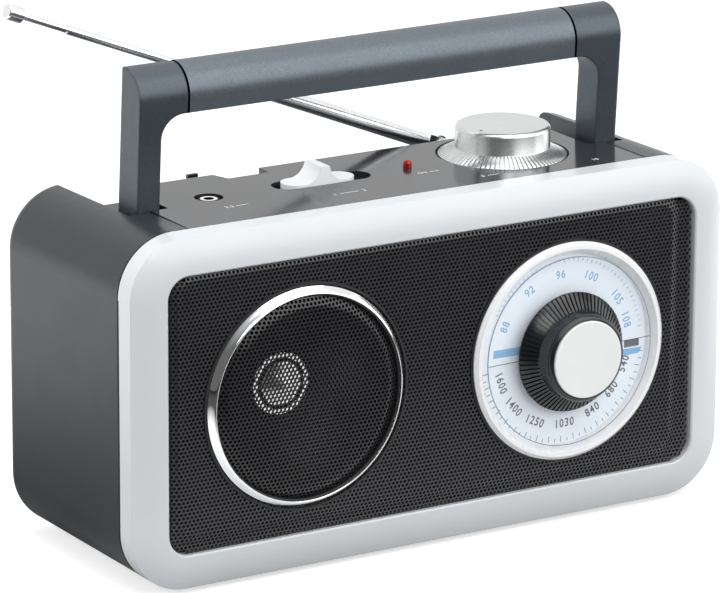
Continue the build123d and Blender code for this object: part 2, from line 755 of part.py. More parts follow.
def cabinet():
    """Shell and top deck in one: rounded tube, rear wall with the cover's seat, deck, recess and slots."""
    shell = case_form(CASE_FRONT, Y_REAR)
    shell = fillet(shell.faces().sort_by(Axis.Y)[-1].edges(), REAR_EDGE_RADIUS)
    seam = slab(case_outline(-WALL), CASE_FRONT, CASE_FRONT + SEAM_WIDTH)
    shell -= seam - slab(case_outline(SEAM_DEPTH), CASE_FRONT, CASE_FRONT + SEAM_WIDTH)
    cavity = case_form(CASE_FRONT - 1, REAR_WALL_FRONT, WALL)
    cavity -= block(-DECK_REACH, DECK_REACH, CASE_FRONT - 1, RECESS_Y, DECK_UNDER, Z_TOP + 1)
    for cut in recess_cuts(WALL):
        cavity -= cut
    for x, z in cover_screw_places():
        cavity -= rod_y(BOSS_RADIUS, REAR_WALL_FRONT - BOSS_LENGTH, Y_REAR, x, z)
    for x in CONTROL_POST_X:
        cavity -= rod_z(STANDOFF_RADIUS, CONTROL_BOARD_TOP, DECK_TOP, x, CONTROL_Y)
    case = shell - cavity
    for cut in recess_cuts():
        case -= cut
    case -= stack(panel_outline(-PANEL_SEAM), DECK_TOP, Z_TOP + 1)
    case -= slab(cover_outline(-GAP), COVER_FRONT, Y_REAR + 1)
    case -= slab(cover_outline(COVER_LIP), REAR_WALL_FRONT - 1, Y_REAR)
    for x, z in cover_screw_places():
        boss = rod_y(BOSS_RADIUS, REAR_WALL_FRONT - BOSS_LENGTH, COVER_FRONT, x, z)
        case += boss
        case -= rod_y(SCREW_HOLE, COVER_BACK - SCREW_BITE - GAP, Y_REAR, x, z)
    for x in CONTROL_POST_X:
        case -= rod_z(SCREW_HOLE, CONTROL_BOARD_TOP - 1, CONTROL_BOARD_TOP + SCREW_BITE, x, CONTROL_Y)
    case -= rod_z(JACK_BUSH_RADIUS + RUN, DECK_UNDER - 1, Z_TOP, JACK_X, CONTROL_Y)
    case -= rod_z(LAMP_RADIUS + RUN, DECK_UNDER - 1, Z_TOP, LAMP_X, CONTROL_Y)
    case -= rod_z(POT_BUSH_RADIUS + RUN, DECK_UNDER - 1, Z_TOP, VOLUME_X, CONTROL_Y)
    stem_slot = Rectangle(BAND_STEM_LENGTH + BAND_TRAVEL + 4 * GAP, BAND_STEM_WIDTH + 4 * GAP)
    case -= stack(Pos(BAND_X, CONTROL_Y) * stem_slot, DECK_UNDER - 1, Z_TOP)
    for hand in (-1, 1):
        ends = sorted((hand * (SLOT_INNER - WALL), hand * (SLOT_OUTER + WALL)))
        case -= rod_x(PIN_RADIUS + RUN, ends[0], ends[1], PIVOT_Y, PIVOT_Z)
    case -= rod_z(STUD_RADIUS + RUN, RECESS_FLOOR - WALL - 1, RECESS_FLOOR + 1, ANTENNA_X, ANTENNA_Y)
    for x, y in foot_places():
        case -= rod_z(FOOT_RADIUS + GAP, Z_BASE - 1, Z_BASE + FOOT_SEAT, x, y)
    return case


def deck_zone():
    """Where the flat deck is parted from the shell: the panel's bed and the posts under it."""
    zone = block(-DECK_REACH, DECK_REACH, CASE_FRONT - 1, RECESS_Y, DECK_UNDER, Z_TOP + 1)
    for x in CONTROL_POST_X:
        zone += rod_z(STANDOFF_RADIUS + GAP, CONTROL_BOARD_TOP - 1, DECK_UNDER, x, CONTROL_Y)
    return zone


def well_zone():
    """Where the antenna's well is parted from the shell: the recess and slots with their floor and walls."""
    low = RECESS_FLOOR - WALL
    front = SLOT_Y - WALL
    return block(-SLOT_OUTER, SLOT_OUTER, front, Y_REAR + 1, low, DECK_UNDER)


def main_case():
    """Grey shell with the two ears outside the handle's slots."""
    return cabinet() - deck_zone() - well_zone()


def top_deck():
    """Flat deck under the panel, with the posts that carry the control board."""
    return cabinet() & deck_zone()


def antenna_well():
    """Floor and walls of the recess behind the panel and of the handle's two slots."""
    return (cabinet() & well_zone()) - deck_zone()


def control_panel():
    panel = stack(panel_outline(), DECK_TOP, Z_TOP)
    panel -= rod_z(JACK_RECESS_RADIUS, DECK_TOP - 1, Z_TOP + 1, JACK_X, CONTROL_Y)
    panel -= rod_z(LAMP_RADIUS + RUN, DECK_TOP - 1, Z_TOP + 1, LAMP_X, CONTROL_Y)
    recess = VOLUME_FLANGE_RADIUS + VOLUME_RECESS_GAP
    panel -= rod_z(recess, DECK_TOP - 1, Z_TOP + 1, VOLUME_X, CONTROL_Y)
    slot = Pos(BAND_X, CONTROL_Y) * SlotOverall(BAND_SLOT_LENGTH, BAND_SLOT_WIDTH)
    return panel - stack(slot, DECK_TOP - 1, Z_TOP + 1)


def rubber_feet():
    feet = []
    for x, y in foot_places():
        foot = rod_z(FOOT_RADIUS, 0, Z_BASE + FOOT_SEAT, x, y)
        feet.append(chamfer(foot.faces().sort_by(Axis.Z)[0].edges(), FOOT_HEIGHT / 4))
    return group(feet)


# Controls under and on the panel
def control_board():
    y_low = CONTROL_Y - CONTROL_BOARD_DEPTH / 2
    y_high = CONTROL_Y + CONTROL_BOARD_DEPTH / 2
    half = CONTROL_BOARD_WIDTH / 2
    board = block(-half, half, y_low, y_high, CONTROL_BOARD_TOP - BOARD_THICK, CONTROL_BOARD_TOP)
    for x in CONTROL_POST_X:
        board -= rod_z(SCREW_HOLE, CONTROL_BOARD_TOP - BOARD_THICK - 1, CONTROL_BOARD_TOP + 1, x, CONTROL_Y)
    return board


def control_screws():
    under = CONTROL_BOARD_TOP - BOARD_THICK
    screws = []
    for x in CONTROL_POST_X:
        head = rod_z(SCREW_HEAD_RADIUS, under - SCREW_HEAD, under, x, CONTROL_Y)
        screws.append(head + rod_z(SCREW_RADIUS, under, CONTROL_BOARD_TOP + SCREW_BITE - 1, x, CONTROL_Y))
    return group(screws)


def headphone_jack():
    """Plastic body on the control board, bored for a 3.5 mm plug."""
    half = JACK_BODY / 2
    bore_low = Z_TOP - JACK_SINK - JACK_BORE_DEPTH
    body = block(
        JACK_X - half, JACK_X + half, CONTROL_Y - half, CONTROL_Y + half, CONTROL_BOARD_TOP, JACK_BODY_TOP
    )
    return body - rod_z(JACK_BORE_RADIUS, bore_low, JACK_BODY_TOP + 1, JACK_X, CONTROL_Y)


def headphone_bushing():
    """Plated sleeve from the jack's body up through the deck."""
    sleeve = rod_z(JACK_BUSH_RADIUS, JACK_BODY_TOP, Z_TOP - JACK_SINK, JACK_X, CONTROL_Y)
    return sleeve - rod_z(JACK_BORE_RADIUS, JACK_BODY_TOP - 1, Z_TOP + 1, JACK_X, CONTROL_Y)


def headphone_nut():
    nut = rod_z(JACK_NUT_RADIUS, DECK_TOP, DECK_TOP + JACK_NUT_THICK, JACK_X, CONTROL_Y)
    return nut - rod_z(JACK_BUSH_RADIUS, DECK_TOP - 1, DECK_TOP + 2 * JACK_NUT_THICK, JACK_X, CONTROL_Y)


def band_switch():
    half_length = SWITCH_LENGTH / 2
    half_width = SWITCH_WIDTH / 2
    top = CONTROL_BOARD_TOP + SWITCH_HEIGHT
    body = block(
        BAND_X - half_length,
        BAND_X + half_length,
        CONTROL_Y - half_width,
        CONTROL_Y + half_width,
        CONTROL_BOARD_TOP,
        top,
    )
    pocket = Rectangle(BAND_STEM_LENGTH + BAND_TRAVEL + 2 * GAP, BAND_STEM_WIDTH + 2 * GAP)
    return body - stack(Pos(BAND_X, CONTROL_Y) * pocket, top - SWITCH_POCKET, top + 1)


def band_slider():
    """Oval plate in its slot, a flared finger fin across it, and a stem down to the switch."""
    x = BAND_X - BAND_TRAVEL / 2
    bottom = DECK_TOP + GAP
    plate_top = Z_TOP + BAND_PROUD
    oval = Pos(x, CONTROL_Y) * SlotOverall(BAND_PLATE_LENGTH, BAND_PLATE_WIDTH)
    plate = stack(oval, bottom, plate_top)
    foot = BAND_FIN_FOOT / 2
    crest = BAND_FIN_TOP / 2
    flare_x = crest + (foot - crest) * FIN_FLARE_REACH
    flare_z = plate_top + BAND_FIN_HEIGHT * FIN_FLARE_HEIGHT
    peak = plate_top + BAND_FIN_HEIGHT
    left = ThreePointArc((x - foot, plate_top), (x - flare_x, flare_z), (x - crest, peak))
    right = ThreePointArc((x + crest, peak), (x + flare_x, flare_z), (x + foot, plate_top))
    crest_line = Line((x - crest, peak), (x + crest, peak))
    base_line = Line((x + foot, plate_top), (x - foot, plate_top))
    profile = make_face(left + crest_line + right + base_line)
    half = BAND_PLATE_WIDTH / 2
    fin = slab(profile, CONTROL_Y - half, CONTROL_Y + half) & stack(oval, plate_top, peak)
    stem_bottom = CONTROL_BOARD_TOP + SWITCH_HEIGHT - SWITCH_POCKET + GAP
    stem = Pos(x, CONTROL_Y) * Rectangle(BAND_STEM_LENGTH, BAND_STEM_WIDTH)
    return plate + fin + stack(stem, stem_bottom, bottom)


def power_lamp():
    """Red lamp: domed lens through the panel, a flange under the deck and a lead frame."""
    body = rod_z(LAMP_RADIUS, DECK_UNDER, Z_TOP + LAMP_PROUD, LAMP_X, CONTROL_Y)
    body = fillet(body.faces().sort_by(Axis.Z)[-1].edges(), LAMP_ROUND)
    flange_low = DECK_UNDER - 2 * LAMP_FLANGE
    body += rod_z(LAMP_RADIUS + LAMP_FLANGE, flange_low, DECK_UNDER, LAMP_X, CONTROL_Y)
    return body + block(
        LAMP_X - LAMP_RADIUS,
        LAMP_X + LAMP_RADIUS,
        CONTROL_Y - LAMP_FLANGE,
        CONTROL_Y + LAMP_FLANGE,
        CONTROL_BOARD_TOP,
        flange_low,
    )


def volume_knob():
    """Silver knob: a conical flange sunk level with the panel, a round body, hollow below."""
    rim_low = Z_TOP - VOLUME_FLANGE_EDGE
    neck = Z_TOP + VOLUME_FLANGE_RISE
    top = Z_TOP + VOLUME_HEIGHT
    ceiling = top - VOLUME_HOLLOW_TOP
    bore = VOLUME_SHAFT_RADIUS + RUN
    hub = VOLUME_SHAFT_RADIUS + 2 * VOLUME_ROUND
    hub_low = ceiling - VOLUME_SHAFT_GRIP
    points = [
        (VOLUME_FLANGE_RADIUS, rim_low),
        (VOLUME_FLANGE_RADIUS, Z_TOP),
        (VOLUME_RADIUS, neck),
        (VOLUME_RADIUS, top - VOLUME_ROUND),
        (VOLUME_RADIUS - VOLUME_ROUND, top),
        (0, top),
        (0, ceiling),
        (bore, ceiling),
        (bore, hub_low),
        (hub, hub_low),
        (hub, ceiling),
        (VOLUME_HOLLOW_RADIUS, ceiling),
        (VOLUME_HOLLOW_RADIUS, rim_low),
    ]
    return turned_z(points, VOLUME_X, CONTROL_Y)


def volume_shaft():
    low = CONTROL_BOARD_TOP + POT_HEIGHT / 2
    high = Z_TOP + VOLUME_HEIGHT - VOLUME_HOLLOW_TOP
    return rod_z(VOLUME_SHAFT_RADIUS, low, high, VOLUME_X, CONTROL_Y)


def volume_potentiometer():
    half = POT_SIZE / 2
    body_top = CONTROL_BOARD_TOP + POT_HEIGHT
    bush_top = DECK_TOP + POT_NUT_THICK
    body = block(
        VOLUME_X - half, VOLUME_X + half, CONTROL_Y - half, CONTROL_Y + half, CONTROL_BOARD_TOP, body_top
    )
    body += rod_z(POT_BUSH_RADIUS, body_top, bush_top, VOLUME_X, CONTROL_Y)
    bore_low = CONTROL_BOARD_TOP + POT_HEIGHT / 2 - GAP
    return body - rod_z(VOLUME_SHAFT_RADIUS + RUN, bore_low, bush_top + 1, VOLUME_X, CONTROL_Y)


def volume_nut():
    outline = Pos(VOLUME_X, CONTROL_Y) * RegularPolygon(POT_NUT_RADIUS, 6)
    nut = stack(outline, DECK_TOP, DECK_TOP + POT_NUT_THICK)
    return nut - rod_z(POT_BUSH_RADIUS, DECK_TOP - 1, DECK_TOP + 2 * POT_NUT_THICK, VOLUME_X, CONTROL_Y)


# Carry handle, drawn upright about its pivot and then leaned forward
def lean_forward(piece):
    return Pos(0, PIVOT_Y, PIVOT_Z) * Rot(X=HANDLE_LEAN) * piece


def grip_section():
    """The grip's side view: flat back and front, with the front of its top rounded."""
    half = LEG_DEPTH / 2
    low = HANDLE_TOP - GRIP_HEIGHT
    high = HANDLE_TOP
    face = make_face(Polyline((-half, low), (half, low), (half, high), (-half, high), close=True))
    corners = face.vertices().group_by(Axis.Y)[-1].sort_by(Axis.X)
    face = fillet(corners[0], GRIP_ROUND)
    rear = face.vertices().group_by(Axis.Y)[-1].sort_by(Axis.X)[-1]
    return fillet(rear, HANDLE_EDGE)


def leg_section():
    """A leg's side view: round about its pivot at the foot, and the grip's rounding at the top."""
    half = LEG_DEPTH / 2
    high = HANDLE_TOP - GRIP_ROUND
    shaft = make_face(Polyline((-half, 0), (half, 0), (half, high), (-half, high), close=True))
    return Circle(half) + shaft + grip_section()


def handle_leg(hand):
    """One leg with its elbow, its bore for the pivot pin and a rounded inner corner."""
    middle = LEG_SPACING / 2
    outer = middle + LEG_WIDTH / 2
    inner = middle - LEG_WIDTH / 2
    low = -LEG_DEPTH
    under = HANDLE_TOP - GRIP_HEIGHT
    points = [
        (outer, low),
        (outer, HANDLE_TOP + 1),
        (GRIP_END, HANDLE_TOP + 1),
        (GRIP_END, under),
        (inner, under),
        (inner, low),
    ]
    shape = make_face(Polyline(*[(hand * x, z) for x, z in points], close=True))
    corner = shape.vertices().sort_by_distance(Vector(hand * inner, under, 0))[0]
    shape = fillet(corner, ELBOW_FILLET)
    ends = sorted((hand * GRIP_END, hand * outer))
    leg = slab(shape, -LEG_DEPTH, LEG_DEPTH) & side(leg_section(), ends[0], ends[1])
    bore_ends = sorted((hand * (inner - 1), hand * (outer + 1)))
    leg -= rod_x(PIN_RADIUS + RUN, bore_ends[0], bore_ends[1], 0, 0)
    return lean_forward(leg)


def handle_grip():
    """Bar between the elbows, with a narrow groove where it meets each of them."""
    bar_end = GRIP_END - GRIP_GROOVE
    bar = side(grip_section(), -bar_end, bar_end)
    neck = side(offset(grip_section(), -GRIP_GROOVE_DEPTH), -GRIP_END, GRIP_END)
    return lean_forward(bar + neck)


def handle_pins():
    pins = []
    for hand in (-1, 1):
        ends = sorted((hand * (SLOT_INNER - WALL), hand * (SLOT_OUTER + WALL)))
        pins.append(rod_x(PIN_RADIUS, ends[0], ends[1], PIVOT_Y, PIVOT_Z))
    return group(pins)


def handle_washers():
    """Spacers on the pivot pins between each leg and the walls of its slot."""
    near_leg = LEG_SPACING / 2 - LEG_WIDTH / 2 - RUN
    far_leg = LEG_SPACING / 2 + LEG_WIDTH / 2 + RUN
    washers = []
    for hand in (-1, 1):
        for start, end in ((SLOT_INNER, near_leg), (far_leg, SLOT_OUTER)):
            ends = sorted((hand * start, hand * end))
            washer = rod_x(WASHER_RADIUS, ends[0], ends[1], PIVOT_Y, PIVOT_Z)
            washers.append(washer - rod_x(PIN_RADIUS + RUN, ends[0] - 1, ends[1] + 1, PIVOT_Y, PIVOT_Z))
    return group(washers)


# Antenna
def along_antenna(piece):
    """Lay a piece drawn along +Z from the fork pin out along the raised antenna."""
    outward = (-math.cos(TILT), 0, math.sin(TILT))
    return Plane(origin=(ANTENNA_X, ANTENNA_Y, ANTENNA_Z), x_dir=(0, 1, 0), z_dir=outward) * piece


def antenna_fork():
    """Swivel stud through the recess floor, round base and two cheeks for the antenna's tongue."""
    base_low = RECESS_FLOOR + RUN
    base_top = base_low + FORK_BASE_THICK
    fork = rod_z(FORK_BASE_RADIUS, base_low, base_top, ANTENNA_X, ANTENNA_Y)
    stud_low = RECESS_FLOOR - WALL - GAP - STUD_NUT_THICK
    fork += rod_z(STUD_RADIUS, stud_low, base_low, ANTENNA_X, ANTENNA_Y)
    inner = TONGUE_WIDTH / 2 + RUN
    outer = inner + FORK_CHEEK
    cheek = Pos(ANTENNA_X, (base_top + ANTENNA_Z) / 2) * Rectangle(FORK_LENGTH, ANTENNA_Z - base_top)
    cheek += Pos(ANTENNA_X, ANTENNA_Z) * Circle(FORK_LENGTH / 2)
    fork += slab(cheek, ANTENNA_Y - outer, ANTENNA_Y - inner)
    fork += slab(cheek, ANTENNA_Y + inner, ANTENNA_Y + outer)
    return fork - rod_y(FORK_PIN_RADIUS, ANTENNA_Y - outer - 1, ANTENNA_Y + outer + 1, ANTENNA_X, ANTENNA_Z)


def antenna_nut():
    high = RECESS_FLOOR - WALL - RUN
    outline = Pos(ANTENNA_X, ANTENNA_Y) * RegularPolygon(STUD_NUT_RADIUS, 6)
    nut = stack(outline, high - STUD_NUT_THICK, high)
    return nut - rod_z(STUD_RADIUS, high - STUD_NUT_THICK - 1, high + 1, ANTENNA_X, ANTENNA_Y)


def antenna_pin():
    reach = TONGUE_WIDTH / 2 + RUN + FORK_CHEEK
    return rod_y(FORK_PIN_RADIUS, ANTENNA_Y - reach, ANTENNA_Y + reach, ANTENNA_X, ANTENNA_Z)


def antenna_tube(index):
    """One hollow section, closed at its inner end."""
    start = TUBE_STARTS[index]
    end = TUBE_ENDS[index]
    tube = stack(Circle(TUBE_RADII[index]), start, end)
    return tube - stack(Circle(TUBE_BORES[index]), start + TUBE_PLUG, end + 1)


def antenna_lower_tube():
    """The widest section with a flat tongue, bored for the fork pin."""
    half = TONGUE_WIDTH / 2
    tongue = side(Circle(TONGUE_HEAD), -half, half)
    tongue += block(-half, half, -TONGUE_HEAD, TONGUE_HEAD, 0, TUBE_STARTS[0])
    tongue -= rod_x(FORK_PIN_RADIUS + RUN, -half - 1, half + 1, 0, 0)
    return along_antenna(tongue + antenna_tube(0))


def antenna_middle_tube():
    return along_antenna(antenna_tube(1))


def antenna_upper_tube():
    return along_antenna(antenna_tube(2))


def antenna_tip():
    """Thin rod with a rounded button on its end."""
    button = stack(Circle(TIP_RADIUS), TIP_ROD_END, TIP_ROD_END + TIP_LENGTH)
    button = fillet(button.edges().filter_by(GeomType.CIRCLE), TIP_ROUND)
    return along_antenna(button + stack(Circle(TIP_ROD_RADIUS), TIP_ROD_START, TIP_ROD_END))


def antenna_clip():
    """Open clip on the recess floor that takes the folded antenna's tube."""
    inner = TUBE_RADII[0] + GAP
    outer = inner + CLIP_WALL
    half = CLIP_WIDTH / 2
    high = RECESS_FLOOR + CLIP_HEIGHT
    seat = ANTENNA_Z - inner
    clip = block(CLIP_X - half, CLIP_X + half, ANTENNA_Y - outer, ANTENNA_Y + outer, RECESS_FLOOR, high)
    return clip - block(
        CLIP_X - CLIP_WIDTH, CLIP_X + CLIP_WIDTH, ANTENNA_Y - inner, ANTENNA_Y + inner, seat, high + 1
    )


# Rear cover and battery bay
def bay_outline(grow=0.0):
    """The battery bay seen from the rear, grown by a wall or an overlap."""
    return Pos(BAY_X, BAY_MID) * Rectangle(BAY_WIDTH + 2 * grow, BAY_HEIGHT + 2 * grow)


def rear_cover():
    """Plate with the battery door's pocket, its hinge trough, vents and the inlet's hole."""
    cover = slab(cover_outline(), COVER_FRONT, COVER_BACK)
    cover -= slab(bay_outline(DOOR_OVERLAP), COVER_BACK - DOOR_THICK - RUN, COVER_BACK + 1)
    cover -= slab(bay_outline(), COVER_FRONT - 1, COVER_BACK + 1)
    reach = BAY_WIDTH / 2 + DOOR_OVERLAP
    low = BAY_LOW - DOOR_OVERLAP
    trough_high = DOOR_PIVOT_Z + DOOR_THICK + GAP
    cover -= block(BAY_X - reach, BAY_X + reach, COVER_FRONT - 1, COVER_BACK + 1, low, trough_high)
    pin_end = reach + DOOR_OVERLAP
    cover -= rod_x(DOOR_PIN_RADIUS + RUN, BAY_X - pin_end, BAY_X + pin_end, DOOR_PIVOT_Y, DOOR_PIVOT_Z)
    door_high = BAY_LOW + BAY_HEIGHT + DOOR_OVERLAP
    vent_z = (door_high + COVER_HIGH) / 2
    vent_height = (COVER_HIGH - door_high) * VENT_SHARE
    for index in range(VENT_COUNT):
        x = BAY_X + (index - (VENT_COUNT - 1) / 2) * VENT_PITCH
        vent = Pos(x, vent_z) * Rot(Z=90) * SlotOverall(vent_height, VENT_WIDTH)
        cover -= slab(vent, COVER_FRONT - 1, COVER_BACK + 1)
    cover -= slab(inlet_outline(RUN), COVER_FRONT - 1, COVER_BACK + 1)
    for x, z in cover_screw_places():
        cover -= rod_y(SCREW_HOLE, COVER_FRONT - 1, COVER_BACK + 1, x, z)
    return cover


def battery_tray():
    """Open box behind the door for two rows of two cells."""
    front = COVER_FRONT - BAY_DEPTH
    tray = slab(bay_outline(TRAY_WALL), front - TRAY_WALL, COVER_FRONT)
    tray -= slab(bay_outline(), front, COVER_FRONT + 1)
    reach = BAY_WIDTH / 2 + DOOR_OVERLAP
    return tray - rod_x(DOOR_THICK + GAP, BAY_X - reach, BAY_X + reach, DOOR_PIVOT_Y, DOOR_PIVOT_Z)


def battery_door():
    """Flush door with a round barrel on its lower edge and a finger scoop at its top."""
    reach = BAY_WIDTH / 2 + DOOR_OVERLAP - GAP
    high = BAY_LOW + BAY_HEIGHT + DOOR_OVERLAP - GAP
    door = block(BAY_X - reach, BAY_X + reach, DOOR_PIVOT_Y, COVER_BACK, DOOR_PIVOT_Z, high)
    door += rod_x(DOOR_THICK, BAY_X - reach, BAY_X + reach, DOOR_PIVOT_Y, DOOR_PIVOT_Z)
    door -= rod_x(DOOR_PIN_RADIUS + RUN, BAY_X - reach - 1, BAY_X + reach + 1, DOOR_PIVOT_Y, DOOR_PIVOT_Z)
    return door - rod_y(DOOR_NOTCH_RADIUS, COVER_BACK - DOOR_NOTCH_DEPTH, COVER_BACK + 1, BAY_X, high)


def battery_door_pin():
    reach = BAY_WIDTH / 2 + 2 * DOOR_OVERLAP
    return rod_x(DOOR_PIN_RADIUS, BAY_X - reach, BAY_X + reach, DOOR_PIVOT_Y, DOOR_PIVOT_Z)


def contact_spring():
    """A short coil spring along +X from the origin."""
    path = Helix(SPRING_PITCH, SPRING_LENGTH, SPRING_RADIUS)
    section = Plane(origin=path @ 0, z_dir=path % 0) * Circle(SPRING_WIRE)
    return Rot(Y=90) * sweep(section, path)


def battery_contacts():
    """A contact plate at each end of both rows of cells, with a spring on one plate of each row."""
    y = COVER_FRONT - BAY_DEPTH / 2
    half = CONTACT_SIZE / 2
    left = BAY_X - BAY_WIDTH / 2
    right = BAY_X + BAY_WIDTH / 2
    contacts = []
    for row in (-1, 1):
        z = BAY_MID + row * BAY_HEIGHT / 4
        contacts.append(block(left, left + CONTACT_THICK, y - half, y + half, z - half, z + half))
        contacts.append(block(right - CONTACT_THICK, right, y - half, y + half, z - half, z + half))
        if row > 0:
            spring = Pos(left + CONTACT_THICK + SPRING_WIRE, y, z) * contact_spring()
        else:
            spring = Pos(right - CONTACT_THICK - SPRING_WIRE, y, z) * Rot(Z=180) * contact_spring()
        contacts.append(spring)
    return group(contacts)


# Mains inlet and transformer
def inlet_outline(grow=0.0):
    z = Z_BASE + INLET_LIFT
    return Pos(INLET_X, z) * Rectangle(INLET_WIDTH + 2 * grow, INLET_HEIGHT + 2 * grow)


def mains_inlet():
    """Inlet body through the cover with a flange outside and an oval socket."""
    z = Z_BASE + INLET_LIFT
    inlet = slab(inlet_outline(), COVER_BACK - INLET_LENGTH, COVER_BACK)
    inlet += slab(inlet_outline(INLET_FLANGE), COVER_BACK, Y_REAR)
    socket = Pos(INLET_X, z) * SlotOverall(SOCKET_WIDTH, SOCKET_HEIGHT)
    inlet -= slab(socket, Y_REAR - SOCKET_DEPTH, Y_REAR + 1)
    for hand in (-1, 1):
        x = INLET_X + hand * INLET_PIN_SPACING / 2
        inlet -= rod_y(INLET_PIN_RADIUS, COVER_BACK - INLET_LENGTH - 1, Y_REAR, x, z)
    return inlet


def inlet_pins():
    z = Z_BASE + INLET_LIFT
    front = COVER_BACK - INLET_LENGTH - INLET_FLANGE
    pins = []
    for hand in (-1, 1):
        x = INLET_X + hand * INLET_PIN_SPACING / 2
        pins.append(rod_y(INLET_PIN_RADIUS, front, Y_REAR - INLET_FLANGE, x, z))
    return group(pins)


def transformer_core():
    """Stacked steel core with a window on each side of its middle leg."""
    y = TRANSFORMER_Y
    z = Z_BASE + WALL + CORE_HEIGHT / 2
    core = Pos(TRANSFORMER_X, y, z) * Box(CORE_WIDTH, CORE_DEPTH, CORE_HEIGHT)
    window = (CORE_WIDTH - CORE_LEG) / 2 - CORE_YOKE
    for hand in (-1, 1):
        x = TRANSFORMER_X + hand * (CORE_LEG + window) / 2
        core -= Pos(x, y, z) * Box(window, CORE_DEPTH + 2, CORE_HEIGHT - 2 * CORE_YOKE)
    return core


def transformer_coil():
    """Winding round the core's middle leg, filling both windows."""
    y = TRANSFORMER_Y
    z = Z_BASE + WALL + CORE_HEIGHT / 2
    width = CORE_WIDTH - 2 * CORE_YOKE - 2 * GAP
    height = CORE_HEIGHT - 2 * CORE_YOKE
    coil = Pos(TRANSFORMER_X, y, z) * Box(width, CORE_DEPTH + 2 * COIL_OVERHANG, height)
    return coil - Pos(TRANSFORMER_X, y, z) * Box(CORE_LEG, CORE_DEPTH, height + 1)


# Ferrite aerial
def ferrite_rod():
    half = FERRITE_LENGTH / 2
    return rod_x(FERRITE_RADIUS, FERRITE_X - half, FERRITE_X + half, FERRITE_Y, FERRITE_Z)


def ferrite_coil():
    half = FERRITE_COIL_LENGTH / 2
    low = FERRITE_X - half
    high = FERRITE_X + half
    coil = rod_x(FERRITE_RADIUS + FERRITE_COIL_WALL, low, high, FERRITE_Y, FERRITE_Z)
    return coil - rod_x(FERRITE_RADIUS, low - 1, high + 1, FERRITE_Y, FERRITE_Z)


def ferrite_holders():
    reach = FERRITE_RADIUS + FERRITE_HOLDER_WALL
    high = RECESS_FLOOR - WALL
    holders = []
    for hand in (-1, 1):
        x = FERRITE_X + hand * FERRITE_HOLDER_SPACING / 2
        low = x - FERRITE_HOLDER / 2
        end = x + FERRITE_HOLDER / 2
        holder = block(low, end, FERRITE_Y - reach, FERRITE_Y + reach, FERRITE_Z - reach, high)
        holders.append(holder - rod_x(FERRITE_RADIUS, low - 1, end + 1, FERRITE_Y, FERRITE_Z))
    return group(holders)


# Fasteners
def front_screws():
    """Screws of one size that hold the baffle to the bezel, the speaker and the circuit board."""
    speaker_seat = BAFFLE_BACK + CONE_SHEET + BASKET_SHEET
    screws = [screw(x, BAFFLE_BACK, z) for x, z in bezel_screw_places()]
    screws += [screw(x, speaker_seat, z) for x, z in speaker_screw_places()]
    screws += [screw(x, BOARD_Y + BOARD_THICK, z) for x, z in board_screw_places()]
    return group(screws)


def cover_screws():
    return group([screw(x, COVER_BACK, z) for x, z in cover_screw_places()])


# Every piece under its own name
PIECES = {
    "front_bezel": front_bezel,
    "front_grille": front_grille,
    "front_baffle": front_baffle,
    "speaker_ring": speaker_ring,
    "dial_ring": dial_ring,
    "dial_plate": dial_plate,
    "pointer_disc": pointer_disc,
    "tuning_knob": tuning_knob,
    "tuning_knob_cap": tuning_knob_cap,
    "tuning_shaft": tuning_shaft,
    "tuning_capacitor": tuning_capacitor,
    "circuit_board": circuit_board,
    "speaker_cone": speaker_cone,
    "speaker_dust_cap": speaker_dust_cap,
    "speaker_basket": speaker_basket,
    "speaker_magnet": speaker_magnet,
    "main_case": main_case,
    "top_deck": top_deck,
    "antenna_well": antenna_well,
    "control_panel": control_panel,
    "rubber_feet": rubber_feet,
    "control_board": control_board,
    "control_screws": control_screws,
    "headphone_jack": headphone_jack,
    "headphone_bushing": headphone_bushing,
    "headphone_nut": headphone_nut,
    "band_switch": band_switch,
    "band_slider": band_slider,
    "power_lamp": power_lamp,
    "volume_knob": volume_knob,
    "volume_shaft": volume_shaft,
    "volume_potentiometer": volume_potentiometer,
    "volume_nut": volume_nut,
    "handle_leg_left": lambda: handle_leg(-1),
    "handle_leg_right": lambda: handle_leg(1),
    "handle_grip": handle_grip,
    "handle_pins": handle_pins,
    "handle_washers": handle_washers,
    "antenna_fork": antenna_fork,
    "antenna_nut": antenna_nut,
    "antenna_pin": antenna_pin,
    "antenna_lower_tube": antenna_lower_tube,
    "antenna_middle_tube": antenna_middle_tube,
    "antenna_upper_tube": antenna_upper_tube,
    "antenna_tip": antenna_tip,
    "antenna_clip": antenna_clip,
    "rear_cover": rear_cover,
    "cover_screws": cover_screws,
    "battery_tray": battery_tray,
    "battery_door": battery_door,
    "battery_door_pin": battery_door_pin,
    "battery_contacts": battery_contacts,
    "mains_inlet": mains_inlet,
    "inlet_pins": inlet_pins,
    "transformer_core": transformer_core,
    "transformer_coil": transformer_coil,
    "ferrite_rod": ferrite_rod,
    "ferrite_coil": ferrite_coil,
    "ferrite_holders": ferrite_holders,
    "front_screws": front_screws,
}

os.makedirs("parts", exist_ok=True)
for node, draw in PIECES.items():
    export_step(draw(), os.path.join("parts", node + ".step"))
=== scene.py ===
import bpy
import json
import math
from mathutils import Matrix, Vector

